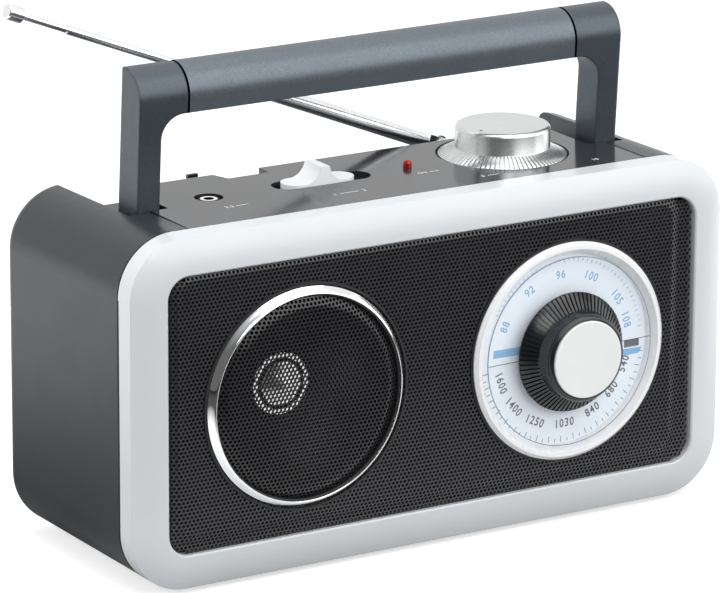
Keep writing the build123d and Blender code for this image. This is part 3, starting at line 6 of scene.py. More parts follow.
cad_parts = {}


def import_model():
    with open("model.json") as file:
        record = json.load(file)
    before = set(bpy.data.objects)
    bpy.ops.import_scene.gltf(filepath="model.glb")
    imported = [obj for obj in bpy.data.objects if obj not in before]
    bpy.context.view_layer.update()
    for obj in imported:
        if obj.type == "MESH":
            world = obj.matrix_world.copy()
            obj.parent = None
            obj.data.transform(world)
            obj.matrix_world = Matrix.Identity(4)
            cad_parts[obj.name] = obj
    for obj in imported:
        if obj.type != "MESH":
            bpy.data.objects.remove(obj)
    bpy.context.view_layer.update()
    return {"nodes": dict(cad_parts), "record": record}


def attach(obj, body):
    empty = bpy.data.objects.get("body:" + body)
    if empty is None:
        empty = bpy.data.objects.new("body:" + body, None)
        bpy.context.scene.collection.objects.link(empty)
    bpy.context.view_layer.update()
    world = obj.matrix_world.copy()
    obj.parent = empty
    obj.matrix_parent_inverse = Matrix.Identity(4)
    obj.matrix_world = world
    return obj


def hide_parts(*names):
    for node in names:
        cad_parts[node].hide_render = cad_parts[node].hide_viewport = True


# Tabletop radio: materials, fine detail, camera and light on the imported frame. Sizes are in mm.
MM = 0.001

# Places and sizes repeated from the part
CASE_WIDTH = 235.0
CASE_HEIGHT = 121.5
CASE_CORNER = 20.5
FOOT_HEIGHT = 2.0
BEZEL_BAR = 12.6
Z_MID = FOOT_HEIGHT + CASE_HEIGHT / 2
Z_TOP = FOOT_HEIGHT + CASE_HEIGHT
OPENING_WIDTH = CASE_WIDTH - 2 * BEZEL_BAR
OPENING_HEIGHT = CASE_HEIGHT - 2 * BEZEL_BAR
OPENING_CORNER = CASE_CORNER - BEZEL_BAR
SEAM_Y = -34.0
FIELD_Y = -43.0
RING_X = 52.2
RING_RADIUS = 38.7
RING_PROUD = 4.5
SPEAKER_RING_BORE = 35.8
CAP_SEAT = -28.3
POINTER_PROUD = 3.9
POINTER_RADIUS = 33.5
PANEL_INSET = 26.9
PANEL_END = CASE_WIDTH / 2 - PANEL_INSET
CONTROL_Y = -3.1
VOLUME_X = 52.0
VOLUME_HEIGHT = 10.5
VOLUME_FOOT = -1.2
PIVOT_Y = -1.5
PIVOT_Z = 118.05
HANDLE_LEAN = 3.9
HANDLE_TOP = 53.37
GRIP_END = 77.35
GRIP_DEPTH = 12.5
GRIP_HEIGHT = 15.1
GRIP_ROUND = 10.0
GRIP_EDGE = 1.0

# Perforated sheet, its field raised behind margins at the left, right, top and bottom
HOLE_PITCH = 1.555
HOLE_RADIUS = 0.62
HOLE_DEPTH = 0.6
SHEET_Y = -43.7
RAISED_Y = -45.2
RAISED_MARGINS = (2.5, 7.8, 0.0, 4.7)
RAISED_SLOPE = 3.3
RAISED_CORNER = 7.0
SHEET_GAP = 0.1
DIAL_CLEAR = 37.3
SPEAKER_CLEAR = 36.6
SPEAKER_COVER = 38.0
DOME_Y = -45.3
DOME_RISE = 1.7
DOME_SLOPE = 5.0

# Trim of the speaker and the clear disc
RING_SLOPE_FOOT = 1.9
TRIM_GAP = 0.02
GROOVE_RADII = (7.7, 9.0)
HAIRLINE_START = 20.8
HAIRLINE_INSET = 0.3
HAIRLINE_WIDTH = 0.24
HAIRLINE_ANGLE = 1.0

# Letters, their thickness, spacing, boldness and width against the font's own
INK = 0.03
LETTER_SPACING = 1.2
LETTER_BOLDNESS = 0.018
LETTER_WIDTH = 0.84
LETTER_CURVE_STEPS = 3

# Dial numbers with their angles, and ticks as first and last angle, step, radius and lengths in turn
DIGIT_HEIGHT = 3.1
NUMBER_RADIUS = 26.8
FM_NUMBERS = {"88": 155, "92": 122.4, "96": 93.6, "100": 66, "105": 35, "108": 14.5}
AM_NUMBERS = {
    "1600": 198.2,
    "1400": 221.2,
    "1250": 244.6,
    "1030": 271.5,
    "840": 297.2,
    "680": 318.4,
    "540": 339.7,
}
TICK_WIDTH = 0.24
FM_TICKS = (150, 6, 3.5, 32.2, (0.9, 0.9, 1.4))
AM_TICKS = (188, 350, 4.5, 33.6, (2.2, 1.3))

# Corners of the dial's two bands, and the edges of its window mark
LEFT_BAND = ((-28.9, 0.7), (-17.0, 0.5), (-17.0, 3.4), (-28.7, 3.5))
RIGHT_BAND = ((17.0, -6.8), (31.2, -6.3), (32.6, -4.2), (17.0, -4.0))
WINDOW_MARK = (25.2, 31.4, -3.6, -0.9)

# Words on the panel with their height, x and y, and lines with their two ends and y
PANEL_WORDS = (
    ("3.5", 2.0, -65.5, -17.0),
    ("ON", 1.9, 13.4, -12.4),
    ("1", 2.0, -27.0, -21.5),
    ("2", 2.0, -15.5, -21.5),
    ("0", 2.0, 29.0, -26.5),
    ("10", 2.0, 74.6, -27.2),
)
PANEL_LINES = (
    (-63.0, -58.2, -17.05),
    (16.4, 20.2, -12.4),
    (-25.0, -17.5, -21.5),
    (31.0, 35.5, -26.5),
)
PANEL_LINE_WIDTH = 0.4

# Black lines of painted shadow in seams: the panel's end strip, the bezel's as offsets out from the case
# and along y, the grip's as reaches onto grip and elbow
SEAM_SHADOW_WIDTH = 1.1
SEAM_SHADOW_DEPTH = 1.2
SEAM_SHADOW_ENDS = (-33.6, -10.5)
SEAM_SECTION = ((-0.4, -0.5), (0.05, -0.5), (0.05, 0.4), (-0.4, 0.4))
SEAM_STEPS = 30
GRIP_SEAM_IN = 0.7
GRIP_SEAM_OUT = 0.15
GRIP_STEPS = 12

# Knob ribs as shares of one rib's turn, which of them lie in the valley, and its drop against its depth
RIB_SHARES = (0.0, 0.6, 0.7, 0.9)
RIB_VALLEY = (2, 3)
RIB_DROP = 0.6
TUNING_RIBS = 72
VOLUME_RIBS = 84
VOLUME_MARK = (40.2, -7.8)
VOLUME_MARK_SUNK = 0.05

# Camera, from the photograph's lines and circles, with its clipping in metres
CAMERA_AZIMUTH = 31.584
CAMERA_ELEVATION = 16.276
CAMERA_ROLL = 0.292
CAMERA_DISTANCE = 1750.34
CAMERA_SHIFT = (-26.846, 25.662)
CAMERA_AIM = (0.0, -45.5, 63.05)
CAMERA_LENS = 258.5
CAMERA_SENSOR = 36.0
CAMERA_CLIP = (0.05, 50.0)

# Part of a noise's range that colours and roughness spread over
NOISE_LOW = 0.3
NOISE_HIGH = 0.7

# Plastics and inks: colour, roughness, scale and strength of the grain, and how far the colour varies
MOULDED = {
    "bezel_silver": ((0.565, 0.590, 0.610), 0.34, 2600.0, 0.02, 0.008),
    "grille_black": ((0.030, 0.030, 0.034), 0.32, 1500.0, 0.03, 0.1),
    "mesh_black": ((0.018, 0.018, 0.021), 0.32, 1500.0, 0.03, 0.1),
    "inner_black": ((0.003, 0.003, 0.0035), 0.6, 900.0, 0.1, 0.15),
    # Flat black for the painted shadow in the grip's seams
    "seam_shadow_black": ((0.002, 0.002, 0.0024), 0.8, 900.0, 0.1, 0.15),
    "dial_silver": ((0.80, 0.81, 0.82), 0.28, 2400.0, 0.02, 0.01),
    "dial_white": ((0.84, 0.90, 0.96), 0.4, 2000.0, 0.02, 0.01),
    # Painted shade for the clear disc's edge
    "disc_edge_painted_shade": ((0.22, 0.26, 0.34), 0.2, 2000.0, 0.02, 0.05),
    "knob_black": ((0.006, 0.007, 0.009), 0.2, 1600.0, 0.004, 0.1),
    "cap_silver": ((0.74, 0.75, 0.75), 0.3, 2400.0, 0.02, 0.02),
    "part_grey": ((0.10, 0.10, 0.105), 0.45, 900.0, 0.1, 0.1),
    "basket_steel": ((0.03, 0.03, 0.032), 0.4, 700.0, 0.1, 0.1),
    "magnet_dark": ((0.05, 0.05, 0.055), 0.5, 600.0, 0.2, 0.2),
    "case_grey": ((0.013, 0.017, 0.021), 0.34, 2600.0, 0.03, 0.05),
    "panel_grey": ((0.018, 0.020, 0.024), 0.13, 2200.0, 0.004, 0.04),
    "foot_rubber": ((0.015, 0.015, 0.015), 0.75, 700.0, 0.2, 0.15),
    "slider_silver": ((0.80, 0.81, 0.82), 0.32, 2400.0, 0.02, 0.01),
    # The handle and its grip share one paint: these are a shaded and a lit copy of it, the grip's painted
    # lighter
    "handle_grey": ((0.060, 0.074, 0.088), 0.36, 2000.0, 0.05, 0.15),
    "grip_grey": ((0.105, 0.126, 0.146), 0.38, 2000.0, 0.06, 0.18),
    "washer_black": ((0.012, 0.012, 0.012), 0.4, 900.0, 0.1, 0.1),
    "cover_grey": ((0.030, 0.032, 0.035), 0.5, 800.0, 0.25, 0.06),
    "door_grey": ((0.028, 0.030, 0.033), 0.46, 800.0, 0.25, 0.06),
    "ferrite_dark": ((0.02, 0.02, 0.022), 0.5, 500.0, 0.2, 0.15),
    "ink_blue": ((0.16, 0.42, 0.72), 0.5, 2000.0, 0.02, 0.04),
    "ink_black": ((0.030, 0.031, 0.034), 0.5, 2000.0, 0.02, 0.06),
    "ink_white": ((0.72, 0.72, 0.72), 0.5, 2000.0, 0.02, 0.02),
}

# Some plastics' clear coat, share of metal flakes, lack of gloss, and radius of edges that look rounded
COATS = {"bezel_silver": 0.3, "dial_silver": 0.3, "cap_silver": 0.4, "slider_silver": 0.2}
FLAKES = {"handle_grey": 0.55, "grip_grey": 0.55}
GLOSSLESS = ("seam_shadow_black",)
EDGES = {
    "bezel_silver": 0.5,
    "case_grey": 0.4,
    "panel_grey": 0.3,
    "slider_silver": 0.4,
    "handle_grey": 1.2,
    "grip_grey": 0.3,
    "cover_grey": 0.3,
    "door_grey": 0.3,
}
EDGE_SAMPLES = 4
COAT_ROUGHNESS = 0.12
CLOUD_SCALE = 35.0
GLOSS_SCALE = 140.0
GLOSS_VARY = 0.08

# Metals: colour, roughness, stretch of the grain, its scale and strength, and how far the gloss varies
EVEN = (1.0, 1.0, 1.0)
METALS = {
    "trim_chrome": ((0.84, 0.85, 0.86), 0.06, EVEN, 200.0, 0.002, 0.1),
    "shaft_steel": ((0.50, 0.50, 0.51), 0.3, (1.0, 0.1, 1.0), 700.0, 0.05, 0.1),
    "screw_steel": ((0.42, 0.42, 0.43), 0.32, EVEN, 900.0, 0.05, 0.1),
    "volume_silver": ((0.66, 0.67, 0.67), 0.28, (0.06, 1.0, 1.0), 900.0, 0.002, 0.04),
    "antenna_chrome": ((0.84, 0.85, 0.87), 0.22, EVEN, 400.0, 0.002, 0.1),
    "contact_plated": ((0.66, 0.66, 0.63), 0.25, EVEN, 400.0, 0.02, 0.1),
    "core_steel": ((0.28, 0.28, 0.30), 0.4, (1.0, 12.0, 1.0), 120.0, 0.2, 0.1),
    "coil_copper": ((0.55, 0.24, 0.10), 0.35, (1.0, 1.0, 14.0), 120.0, 0.2, 0.1),
}

# Heights of fine relief
MOULD_RELIEF = 0.05
METAL_RELIEF = 0.03
PAPER_RELIEF = 0.2
BOARD_RELIEF = 0.2

# Least and most painted glow lent to the speaker's cap, standing in for its highlights, and between which
# places it rises or falls
CAP_PAINTED_GLOW = (0.04, 0.6)
CAP_RIGHT = (-2.0, 0.5)
CAP_LOWER = (-2.5, 0.0)
CAP_RIM = (8.0, 9.0)

# Floor in metres and strengths: as light falls on it, as the camera sees it, and as reflections see it.
# Reflections alone see painted shade on it, in front of the radio and in a patch near its back left, and a
# painted glow elsewhere, stronger at the right
FLOOR_HALF = 6.0
FLOOR_ROUGHNESS = 0.9
FLOOR_LIT = 0.45
FLOOR_SEEN = 0.6
FLOOR_SEEN_GLOW = 0.6
FLOOR_MIRRORED = (0.06, 0.85)
FLOOR_PAINTED_SHADE_EDGE = (-0.22, -0.09)
PAINTED_SHADE_PLACE = (-0.12, 0.08, 0.0)
PAINTED_SHADE_REACH = (0.05, 0.2)
PAINTED_SHADE_LEVEL = 0.25
PAINTED_OPEN_GLOW = 0.25
PAINTED_OPEN_GLOW_FROM = 0.5
PAINTED_RIGHT_GLOW = 1.2
PAINTED_RIGHT_GLOW_EDGE = (0.2, 0.35)

# World strengths, and the direction and spread of the dark place in front of the radio
WORLD_LIT = 0.45
WORLD_SEEN = 1.0
WORLD_MIRRORED = (1.0, 0.15)
DARK_SIDE = (-0.58, -0.80, 0.15)
DARK_SPREAD = (0.6, 0.92)

# Lamps: place, aim and size in metres, power in watts, and whether reflections see them
LAMPS = {
    "top_softbox": ((-0.1, 0.0, 1.3), (0.0, 0.0, 0.1), 1.6, 10.0, True),
    "front_softbox": ((0.3, -0.65, 0.6), (0.02, -0.04, 0.07), 0.9, 5.0, True),
    "key_softbox": ((-0.25, -0.85, 0.62), (0.03, -0.05, 0.07), 0.35, 1.6, True),
    "left_softbox": ((-1.3, 0.3, 0.7), (0.0, 0.0, 0.08), 0.8, 13.0, False),
    "right_softbox": ((1.2, -0.45, 0.35), (0.05, -0.03, 0.07), 0.8, 2.5, True),
}

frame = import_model()


# Material helpers
def shader(name):
    """A new material with its nodes and principled shader."""
    material = bpy.data.materials.new(name)
    material.use_nodes = True
    tree = material.node_tree
    return material, tree, tree.nodes["Principled BSDF"]


def coordinates(tree, scale=EVEN):
    """Object coordinates in metres, stretched by scale."""
    place = tree.nodes.new("ShaderNodeTexCoord")
    mapping = tree.nodes.new("ShaderNodeMapping")
    mapping.inputs["Scale"].default_value = scale
    tree.links.new(place.outputs["Object"], mapping.inputs["Vector"])
    return mapping.outputs["Vector"]


def axes(tree, vector):
    """The X, Y and Z of a vector."""
    node = tree.nodes.new("ShaderNodeSeparateXYZ")
    tree.links.new(vector, node.inputs["Vector"])
    return node.outputs


def measured(tree, operation, vector, other):
    """One number from a vector and a fixed vector, such as their distance."""
    node = tree.nodes.new("ShaderNodeVectorMath")
    node.operation = operation
    tree.links.new(vector, node.inputs[0])
    node.inputs[1].default_value = other
    return node.outputs["Value"]


def noise(tree, vector, scale, detail=3.0):
    """Noise over a vector."""
    node = tree.nodes.new("ShaderNodeTexNoise")
    node.inputs["Scale"].default_value = scale
    node.inputs["Detail"].default_value = detail
    tree.links.new(vector, node.inputs["Vector"])
    return node.outputs["Fac"]


def spread(tree, value, low, high, first=NOISE_LOW, last=NOISE_HIGH):
    """Map a value between first and last to between low and high."""
    node = tree.nodes.new("ShaderNodeMapRange")
    node.inputs["From Min"].default_value = first
    node.inputs["From Max"].default_value = last
    node.inputs["To Min"].default_value = low
    node.inputs["To Max"].default_value = high
    tree.links.new(value, node.inputs["Value"])
    return node.outputs["Result"]


def tint(tree, value, dark, light):
    """Blend between two colours by a noise value."""
    ramp = tree.nodes.new("ShaderNodeValToRGB")
    ramp.color_ramp.elements[0].position = NOISE_LOW
    ramp.color_ramp.elements[0].color = (*dark, 1.0)
    ramp.color_ramp.elements[1].position = NOISE_HIGH
    ramp.color_ramp.elements[1].color = (*light, 1.0)
    tree.links.new(value, ramp.inputs["Fac"])
    return ramp.outputs["Color"]


def joined(tree, operation, first, second):
    """Two values put together by a math operation."""
    node = tree.nodes.new("ShaderNodeMath")
    node.operation = operation
    tree.links.new(first, node.inputs[0])
    tree.links.new(second, node.inputs[1])
    return node.outputs["Value"]


def mixed(tree, factor, first, second):
    """A value between two others, each a socket or a number."""
    node = tree.nodes.new("ShaderNodeMix")
    node.data_type = "FLOAT"
    tree.links.new(factor, node.inputs["Factor"])
    for name, value in (("A", first), ("B", second)):
        if isinstance(value, float):
            node.inputs[name].default_value = value
        else:
            tree.links.new(value, node.inputs[name])
    return node.outputs["Result"]


def roughen(tree, bsdf, value, strength, height, edge=0.0):
    """Fine relief from a height value, on edges that look rounded over by edge."""
    bump = tree.nodes.new("ShaderNodeBump")
    bump.inputs["Strength"].default_value = strength
    bump.inputs["Distance"].default_value = height * MM
    tree.links.new(value, bump.inputs["Height"])
    if edge:
        soft = tree.nodes.new("ShaderNodeBevel")
        soft.samples = EDGE_SAMPLES
        soft.inputs["Radius"].default_value = edge * MM
        tree.links.new(soft.outputs["Normal"], bump.inputs["Normal"])
    tree.links.new(bump.outputs["Normal"], bsdf.inputs["Normal"])


def shade(colour, factor):
    return tuple(channel * factor for channel in colour)


# Materials
def moulded(name, colour, rough, grain, strength, vary):
    """Moulded or painted plastic with faint clouds or flakes of colour, uneven gloss and fine grain."""
    material, tree, bsdf = shader(name)
    place = coordinates(tree)
    flakes = FLAKES.get(name, 0.0)
    fine = noise(tree, place, grain, detail=2.0)
    clouds = fine if flakes else noise(tree, place, CLOUD_SCALE)
    colours = tint(tree, clouds, shade(colour, 1 - vary), shade(colour, 1 + vary))
    gloss = noise(tree, place, GLOSS_SCALE)
    uneven = spread(tree, gloss, rough * (1 - GLOSS_VARY), rough * (1 + GLOSS_VARY))
    tree.links.new(colours, bsdf.inputs["Base Color"])
    tree.links.new(uneven, bsdf.inputs["Roughness"])
    roughen(tree, bsdf, fine, strength, MOULD_RELIEF, EDGES.get(name, 0.0))
    bsdf.inputs["Metallic"].default_value = flakes
    bsdf.inputs["Coat Weight"].default_value = COATS.get(name, 0.0)
    bsdf.inputs["Coat Roughness"].default_value = COAT_ROUGHNESS
    if name in GLOSSLESS:
        bsdf.inputs["Specular IOR Level"].default_value = 0.0
    return material


def metal(name, colour, rough, stretch, grain, strength, vary):
    """Bare or plated metal, with streaks where stretch draws the grain out."""
    material, tree, bsdf = shader(name)
    streaks = noise(tree, coordinates(tree, stretch), grain, detail=4.0)
    faint = vary / 3
    colours = tint(tree, streaks, shade(colour, 1 - faint), shade(colour, 1 + faint))
    uneven = spread(tree, streaks, rough * (1 - vary), rough * (1 + vary))
    tree.links.new(colours, bsdf.inputs["Base Color"])
    tree.links.new(uneven, bsdf.inputs["Roughness"])
    roughen(tree, bsdf, streaks, strength, METAL_RELIEF)
    bsdf.inputs["Metallic"].default_value = 1.0
    return material


def clear_plastic():
    """Nearly clear plastic with a faint blue cast."""
    material, tree, bsdf = shader("pointer_clear")
    smears = noise(tree, coordinates(tree), scale=220.0)
    tree.links.new(spread(tree, smears, low=0.03, high=0.06), bsdf.inputs["Roughness"])
    bsdf.inputs["Base Color"].default_value = (0.80, 0.87, 0.95, 1.0)
    bsdf.inputs["Alpha"].default_value = 0.08
    bsdf.inputs["IOR"].default_value = 1.49
    return material


def lamp_red():
    """Red lens with a little of its own light."""
    material, tree, bsdf = shader("lamp_red")
    depths = noise(tree, coordinates(tree), scale=700.0)
    colours = tint(tree, depths, dark=(0.22, 0.001, 0.003), light=(0.34, 0.002, 0.004))
    tree.links.new(colours, bsdf.inputs["Base Color"])
    bsdf.inputs["Roughness"].default_value = 0.1
    bsdf.inputs["Emission Color"].default_value = (0.8, 0.0, 0.0, 1.0)
    bsdf.inputs["Emission Strength"].default_value = 0.03
    return material


def polished_cap_painted_glow():
    """Polished cap that sits in the cone's shade, with painted highlights as a glow, except in its upper
    left quarter.
    """
    material, tree, bsdf = shader("dust_cap_silver")
    place = coordinates(tree)
    smears = noise(tree, place, scale=300.0)
    tree.links.new(spread(tree, smears, low=0.14, high=0.2), bsdf.inputs["Roughness"])
    bsdf.inputs["Base Color"].default_value = (0.92, 0.92, 0.92, 1.0)
    bsdf.inputs["Metallic"].default_value = 0.6
    bsdf.inputs["Emission Color"].default_value = (1.0, 1.0, 1.0, 1.0)
    across = axes(tree, place)
    reach = measured(tree, "DISTANCE", place, (-RING_X * MM, CAP_SEAT * MM, Z_MID * MM))
    right = spread(tree, across["X"], *CAP_PAINTED_GLOW, *[(edge - RING_X) * MM for edge in CAP_RIGHT])
    lower = spread(tree, across["Z"], *reversed(CAP_PAINTED_GLOW), *[(edge + Z_MID) * MM for edge in CAP_LOWER])
    rim = spread(tree, reach, *CAP_PAINTED_GLOW, *[edge * MM for edge in CAP_RIM])
    # Painted highlight: the cap glows to the right, lower down and round its rim, and stays dark in its
    # upper left quarter
    painted_glow = joined(tree, "MAXIMUM", joined(tree, "MAXIMUM", right, lower), rim)
    tree.links.new(painted_glow, bsdf.inputs["Emission Strength"])
    return material


def cone_paper():
    """Felted black paper."""
    material, tree, bsdf = shader("cone_paper")
    fibres = noise(tree, coordinates(tree), scale=1200.0, detail=6.0)
    colours = tint(tree, fibres, dark=(0.006, 0.006, 0.007), light=(0.020, 0.019, 0.018))
    tree.links.new(colours, bsdf.inputs["Base Color"])
    bsdf.inputs["Roughness"].default_value = 0.9
    bsdf.inputs["Specular IOR Level"].default_value = 0.1
    roughen(tree, bsdf, fibres, strength=0.4, height=PAPER_RELIEF)
    return material


def board_green():
    """Solder mask with faint darker tracks."""
    material, tree, bsdf = shader("board_green")
    tracks = noise(tree, coordinates(tree, (1.0, 1.0, 0.35)), scale=260.0, detail=1.0)
    colours = tint(tree, tracks, dark=(0.012, 0.07, 0.035), light=(0.03, 0.16, 0.08))
    tree.links.new(colours, bsdf.inputs["Base Color"])
    bsdf.inputs["Roughness"].default_value = 0.35
    roughen(tree, bsdf, tracks, strength=0.15, height=BOARD_RELIEF)
    return material


MATERIALS = {
    "pointer_clear": clear_plastic(),
    "lamp_red": lamp_red(),
    "dust_cap_silver": polished_cap_painted_glow(),
    "cone_paper": cone_paper(),
    "board_green": board_green(),
}
MATERIALS.update({name: moulded(name, *row) for name, row in MOULDED.items()})
MATERIALS.update({name: metal(name, *row) for name, row in METALS.items()})


def dress_nodes():
    """Give every solid the material of its slot."""
    for part in frame["record"]["subparts"]:
        material = MATERIALS[part["material_slot"]]
        for slot in frame["nodes"][part["node"]].material_slots:
            slot.material = material


# Mesh helpers
def mesh_piece(name, shape, body, slot, look=None, sharp=None):
    """A piece of points and faces on a body. It looks like its slot unless look names a material,
    and its shading is smooth up to the sharp angle."""
    points, faces = shape
    mesh = bpy.data.meshes.new(name)
    mesh.from_pydata([tuple(value * MM for value in point) for point in points], [], faces)
    mesh.validate()
    mesh.materials.append(MATERIALS[look or slot])
    if sharp:
        mesh.shade_smooth()
        mesh.set_sharp_from_angle(angle=math.radians(sharp))
    piece = bpy.data.objects.new(name, mesh)
    bpy.context.scene.collection.objects.link(piece)
    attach(piece, body)
    return piece


def merged(shapes):
    """One shape from several."""
    points = []
    faces = []
    for more_points, more_faces in shapes:
        start = len(points)
        points += more_points
        faces += [tuple(start + k for k in face) for face in more_faces]
    return points, faces


def placed(shape, place):
    """A shape with every point put through place."""
    points, faces = shape
    return [place(*point) for point in points], faces


def moved(shape, x, y):
    """A flat shape moved across."""
    return placed(shape, lambda u, v, h: (u + x, v + y, h))


def spun(shape, degrees, radius=0.0):
    """A flat shape moved out along its X by radius and then turned about the origin."""
    cos = math.cos(math.radians(degrees))
    sin = math.sin(math.radians(degrees))
    return placed(shape, lambda u, v, h: ((u + radius) * cos - v * sin, (u + radius) * sin + v * cos, h))


def prism(outline, low, high):
    """A flat outline of corners, anticlockwise, solid between two heights."""
    count = len(outline)
    points = [(u, v, low) for u, v in outline] + [(u, v, high) for u, v in outline]
    faces = [tuple(reversed(range(count))), tuple(range(count, 2 * count))]
    for k in range(count):
        after = (k + 1) % count
        faces.append((k, after, count + after, count + k))
    return points, faces


def rectangle(u_low, u_high, v_low, v_high):
    return [(u_low, v_low), (u_high, v_low), (u_high, v_high), (u_low, v_high)]


def strip(u_low, u_high, v_low, v_high):
    """A printed rectangle."""
    return prism(rectangle(u_low, u_high, v_low, v_high), 0.0, INK)


def turned(profile, steps):
    """A profile of (radius, height) points turned about the origin, its last point joined to its first."""
    points = []
    faces = []
    for radius, height in profile:
        for step in range(steps):
            angle = 2 * math.pi * step / steps
            points.append((radius * math.cos(angle), radius * math.sin(angle), height))
    rings = len(profile)
    for ring in range(rings):
        a = ring * steps
        b = (ring + 1) % rings * steps
        for step in range(steps):
            after = (step + 1) % steps
            faces.append((a + step, a + after, b + after, b + step))
    return points, faces


def lettering(words, height):
    """Thin solid letters of a height, centred on the origin."""
    curve = bpy.data.curves.new("lettering", "FONT")
    curve.body = words
    curve.align_x = "CENTER"
    curve.resolution_u = LETTER_CURVE_STEPS
    curve.space_character = LETTER_SPACING
    curve.offset = LETTER_BOLDNESS
    curve.extrude = INK
    helper = bpy.data.objects.new("lettering", curve)
    bpy.context.scene.collection.objects.link(helper)
    seen = helper.evaluated_get(bpy.context.evaluated_depsgraph_get())
    mesh = bpy.data.meshes.new_from_object(seen)
    corners = [vertex.co.copy() for vertex in mesh.vertices]
    faces = [tuple(polygon.vertices) for polygon in mesh.polygons]
    bpy.data.meshes.remove(mesh)
    bpy.data.objects.remove(helper)
    bpy.data.curves.remove(curve)
    low = min(corner.y for corner in corners)
    high = max(corner.y for corner in corners)
    scale = height / (high - low)
    middle = (high + low) / 2
    points = []
    for corner in corners:
        top = INK if corner.z > 0 else 0.0
        points.append((corner.x * scale * LETTER_WIDTH, (corner.y - middle) * scale, top))
    return points, faces


def on_dial(u, v, h):
    """From a place on the dial's face and a height above it."""
    return (RING_X + u, FIELD_Y - h, Z_MID + v)


def on_disc(u, v, h):
    """From a place on the clear disc's front and a height above it."""
    return on_dial(u, v, h + POINTER_PROUD)


def on_speaker(u, v, h):
    """From a place about the speaker's middle and a height above the dial's face."""
    return (u - RING_X, FIELD_Y - h, Z_MID + v)


def on_panel(u, v, h):
    """From a place on the top panel and a height above it."""
    return (u, v, Z_TOP + h)


# Perforated sheet
def inside(x, z, width, height, corner):
    """How far a place lies inside a rounded rectangle about the origin."""
    across = abs(x) - width / 2 + corner
    along = abs(z) - height / 2 + corner
    beyond = math.hypot(max(across, 0.0), max(along, 0.0))
    return corner - beyond - min(max(across, along), 0.0)


def field_depth(x, z):
    """Depth of the pressed sheet's face, raised inside its sloping margins."""
    left, right, top, bottom = RAISED_MARGINS
    width = OPENING_WIDTH - left - right
    height = OPENING_HEIGHT - top - bottom
    inset = inside(x - (left - right) / 2, z - (bottom - top) / 2, width, height, RAISED_CORNER)
    climb = min(max(0.5 + inset / RAISED_SLOPE, 0.0), 1.0)
    return SHEET_Y + (RAISED_Y - SHEET_Y) * climb


def dome_depth(x, z):
    """Depth of the sheet inside the speaker's ring, pressed out a little further."""
    inset = SPEAKER_RING_BORE - math.hypot(x + RING_X, z)
    climb = min(max(inset / DOME_SLOPE, 0.0), 1.0)
    return DOME_Y - DOME_RISE * climb * climb * (3 - 2 * climb)


def in_field(x, z):
    """Whether a cell lies on the field, clear of its edge and both rings."""
    if inside(x, z, OPENING_WIDTH, OPENING_HEIGHT, OPENING_CORNER) < SHEET_GAP + HOLE_PITCH / 2:
        return False
    return math.hypot(x - RING_X, z) > DIAL_CLEAR and math.hypot(x + RING_X, z) > SPEAKER_CLEAR


def in_dome(x, z):
    """Whether a cell lies inside the speaker's ring or under it."""
    return math.hypot(x + RING_X, z) < SPEAKER_COVER


def perforated(name, holds, depth, look):
    """A sheet of six-sided cells, each with its own hole, where holds says so."""
    points = []
    faces = []
    corner_index = {}
    reach = HOLE_PITCH / math.sqrt(3)
    row_step = HOLE_PITCH * math.sqrt(3) / 2
    angles = [math.radians(30 + 60 * k) for k in range(6)]
    rows = int(OPENING_HEIGHT / 2 / row_step)
    columns = int(OPENING_WIDTH / 2 / HOLE_PITCH)

    def corner(x, z):
        key = (round(x, 2), round(z, 2))
        if key not in corner_index:
            corner_index[key] = len(points)
            points.append((x, depth(x, z), Z_MID + z))
        return corner_index[key]

    for row in range(-rows, rows + 1):
        z = row * row_step
        for column in range(-columns, columns + 1):
            x = column * HOLE_PITCH + (HOLE_PITCH / 2 if row % 2 else 0.0)
            if not holds(x, z):
                continue
            outer = [corner(x + reach * math.cos(a), z + reach * math.sin(a)) for a in angles]
            first = len(points)
            for back in (0.0, HOLE_DEPTH):
                for a in angles:
                    px = x + HOLE_RADIUS * math.cos(a)
                    pz = z + HOLE_RADIUS * math.sin(a)
                    points.append((px, depth(px, pz) + back, Z_MID + pz))
            for k in range(6):
                after = (k + 1) % 6
                faces.append((outer[k], outer[after], first + after, first + k))
                faces.append((first + k, first + after, first + 6 + after, first + 6 + k))
    sheet = mesh_piece(name, (points, faces), "case", "grille_black", look)
    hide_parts("front_grille")


def grille():
    perforated("perforated_field", in_field, field_depth, "grille_black")
    perforated("speaker_mesh", in_dome, dome_depth, "mesh_black")


# Speaker trim
def speaker_ring():
    """Chromed ring with a broad outward slope."""
    bore = SPEAKER_RING_BORE
    rim = RING_RADIUS
    profile = [
        (bore, 0.0),
        (rim, 0.0),
        (rim, RING_SLOPE_FOOT),
        (rim - 0.12, RING_SLOPE_FOOT + 0.3),
        (rim - 0.45, RING_SLOPE_FOOT + 0.62),
        (rim - 1.2, RING_SLOPE_FOOT + 1.25),
        (rim - 2.0, RING_PROUD - 0.38),
        (bore + 0.45, RING_PROUD - 0.1),
        (bore + 0.2, RING_PROUD),
        (bore + 0.05, RING_PROUD - 0.05),
        (bore, RING_PROUD - 0.2),
    ]
    shape = placed(turned(profile, steps=180), on_speaker)
    ring = mesh_piece("speaker_trim_ring", shape, "case", "trim_chrome", sharp=25)
    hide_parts("speaker_ring")


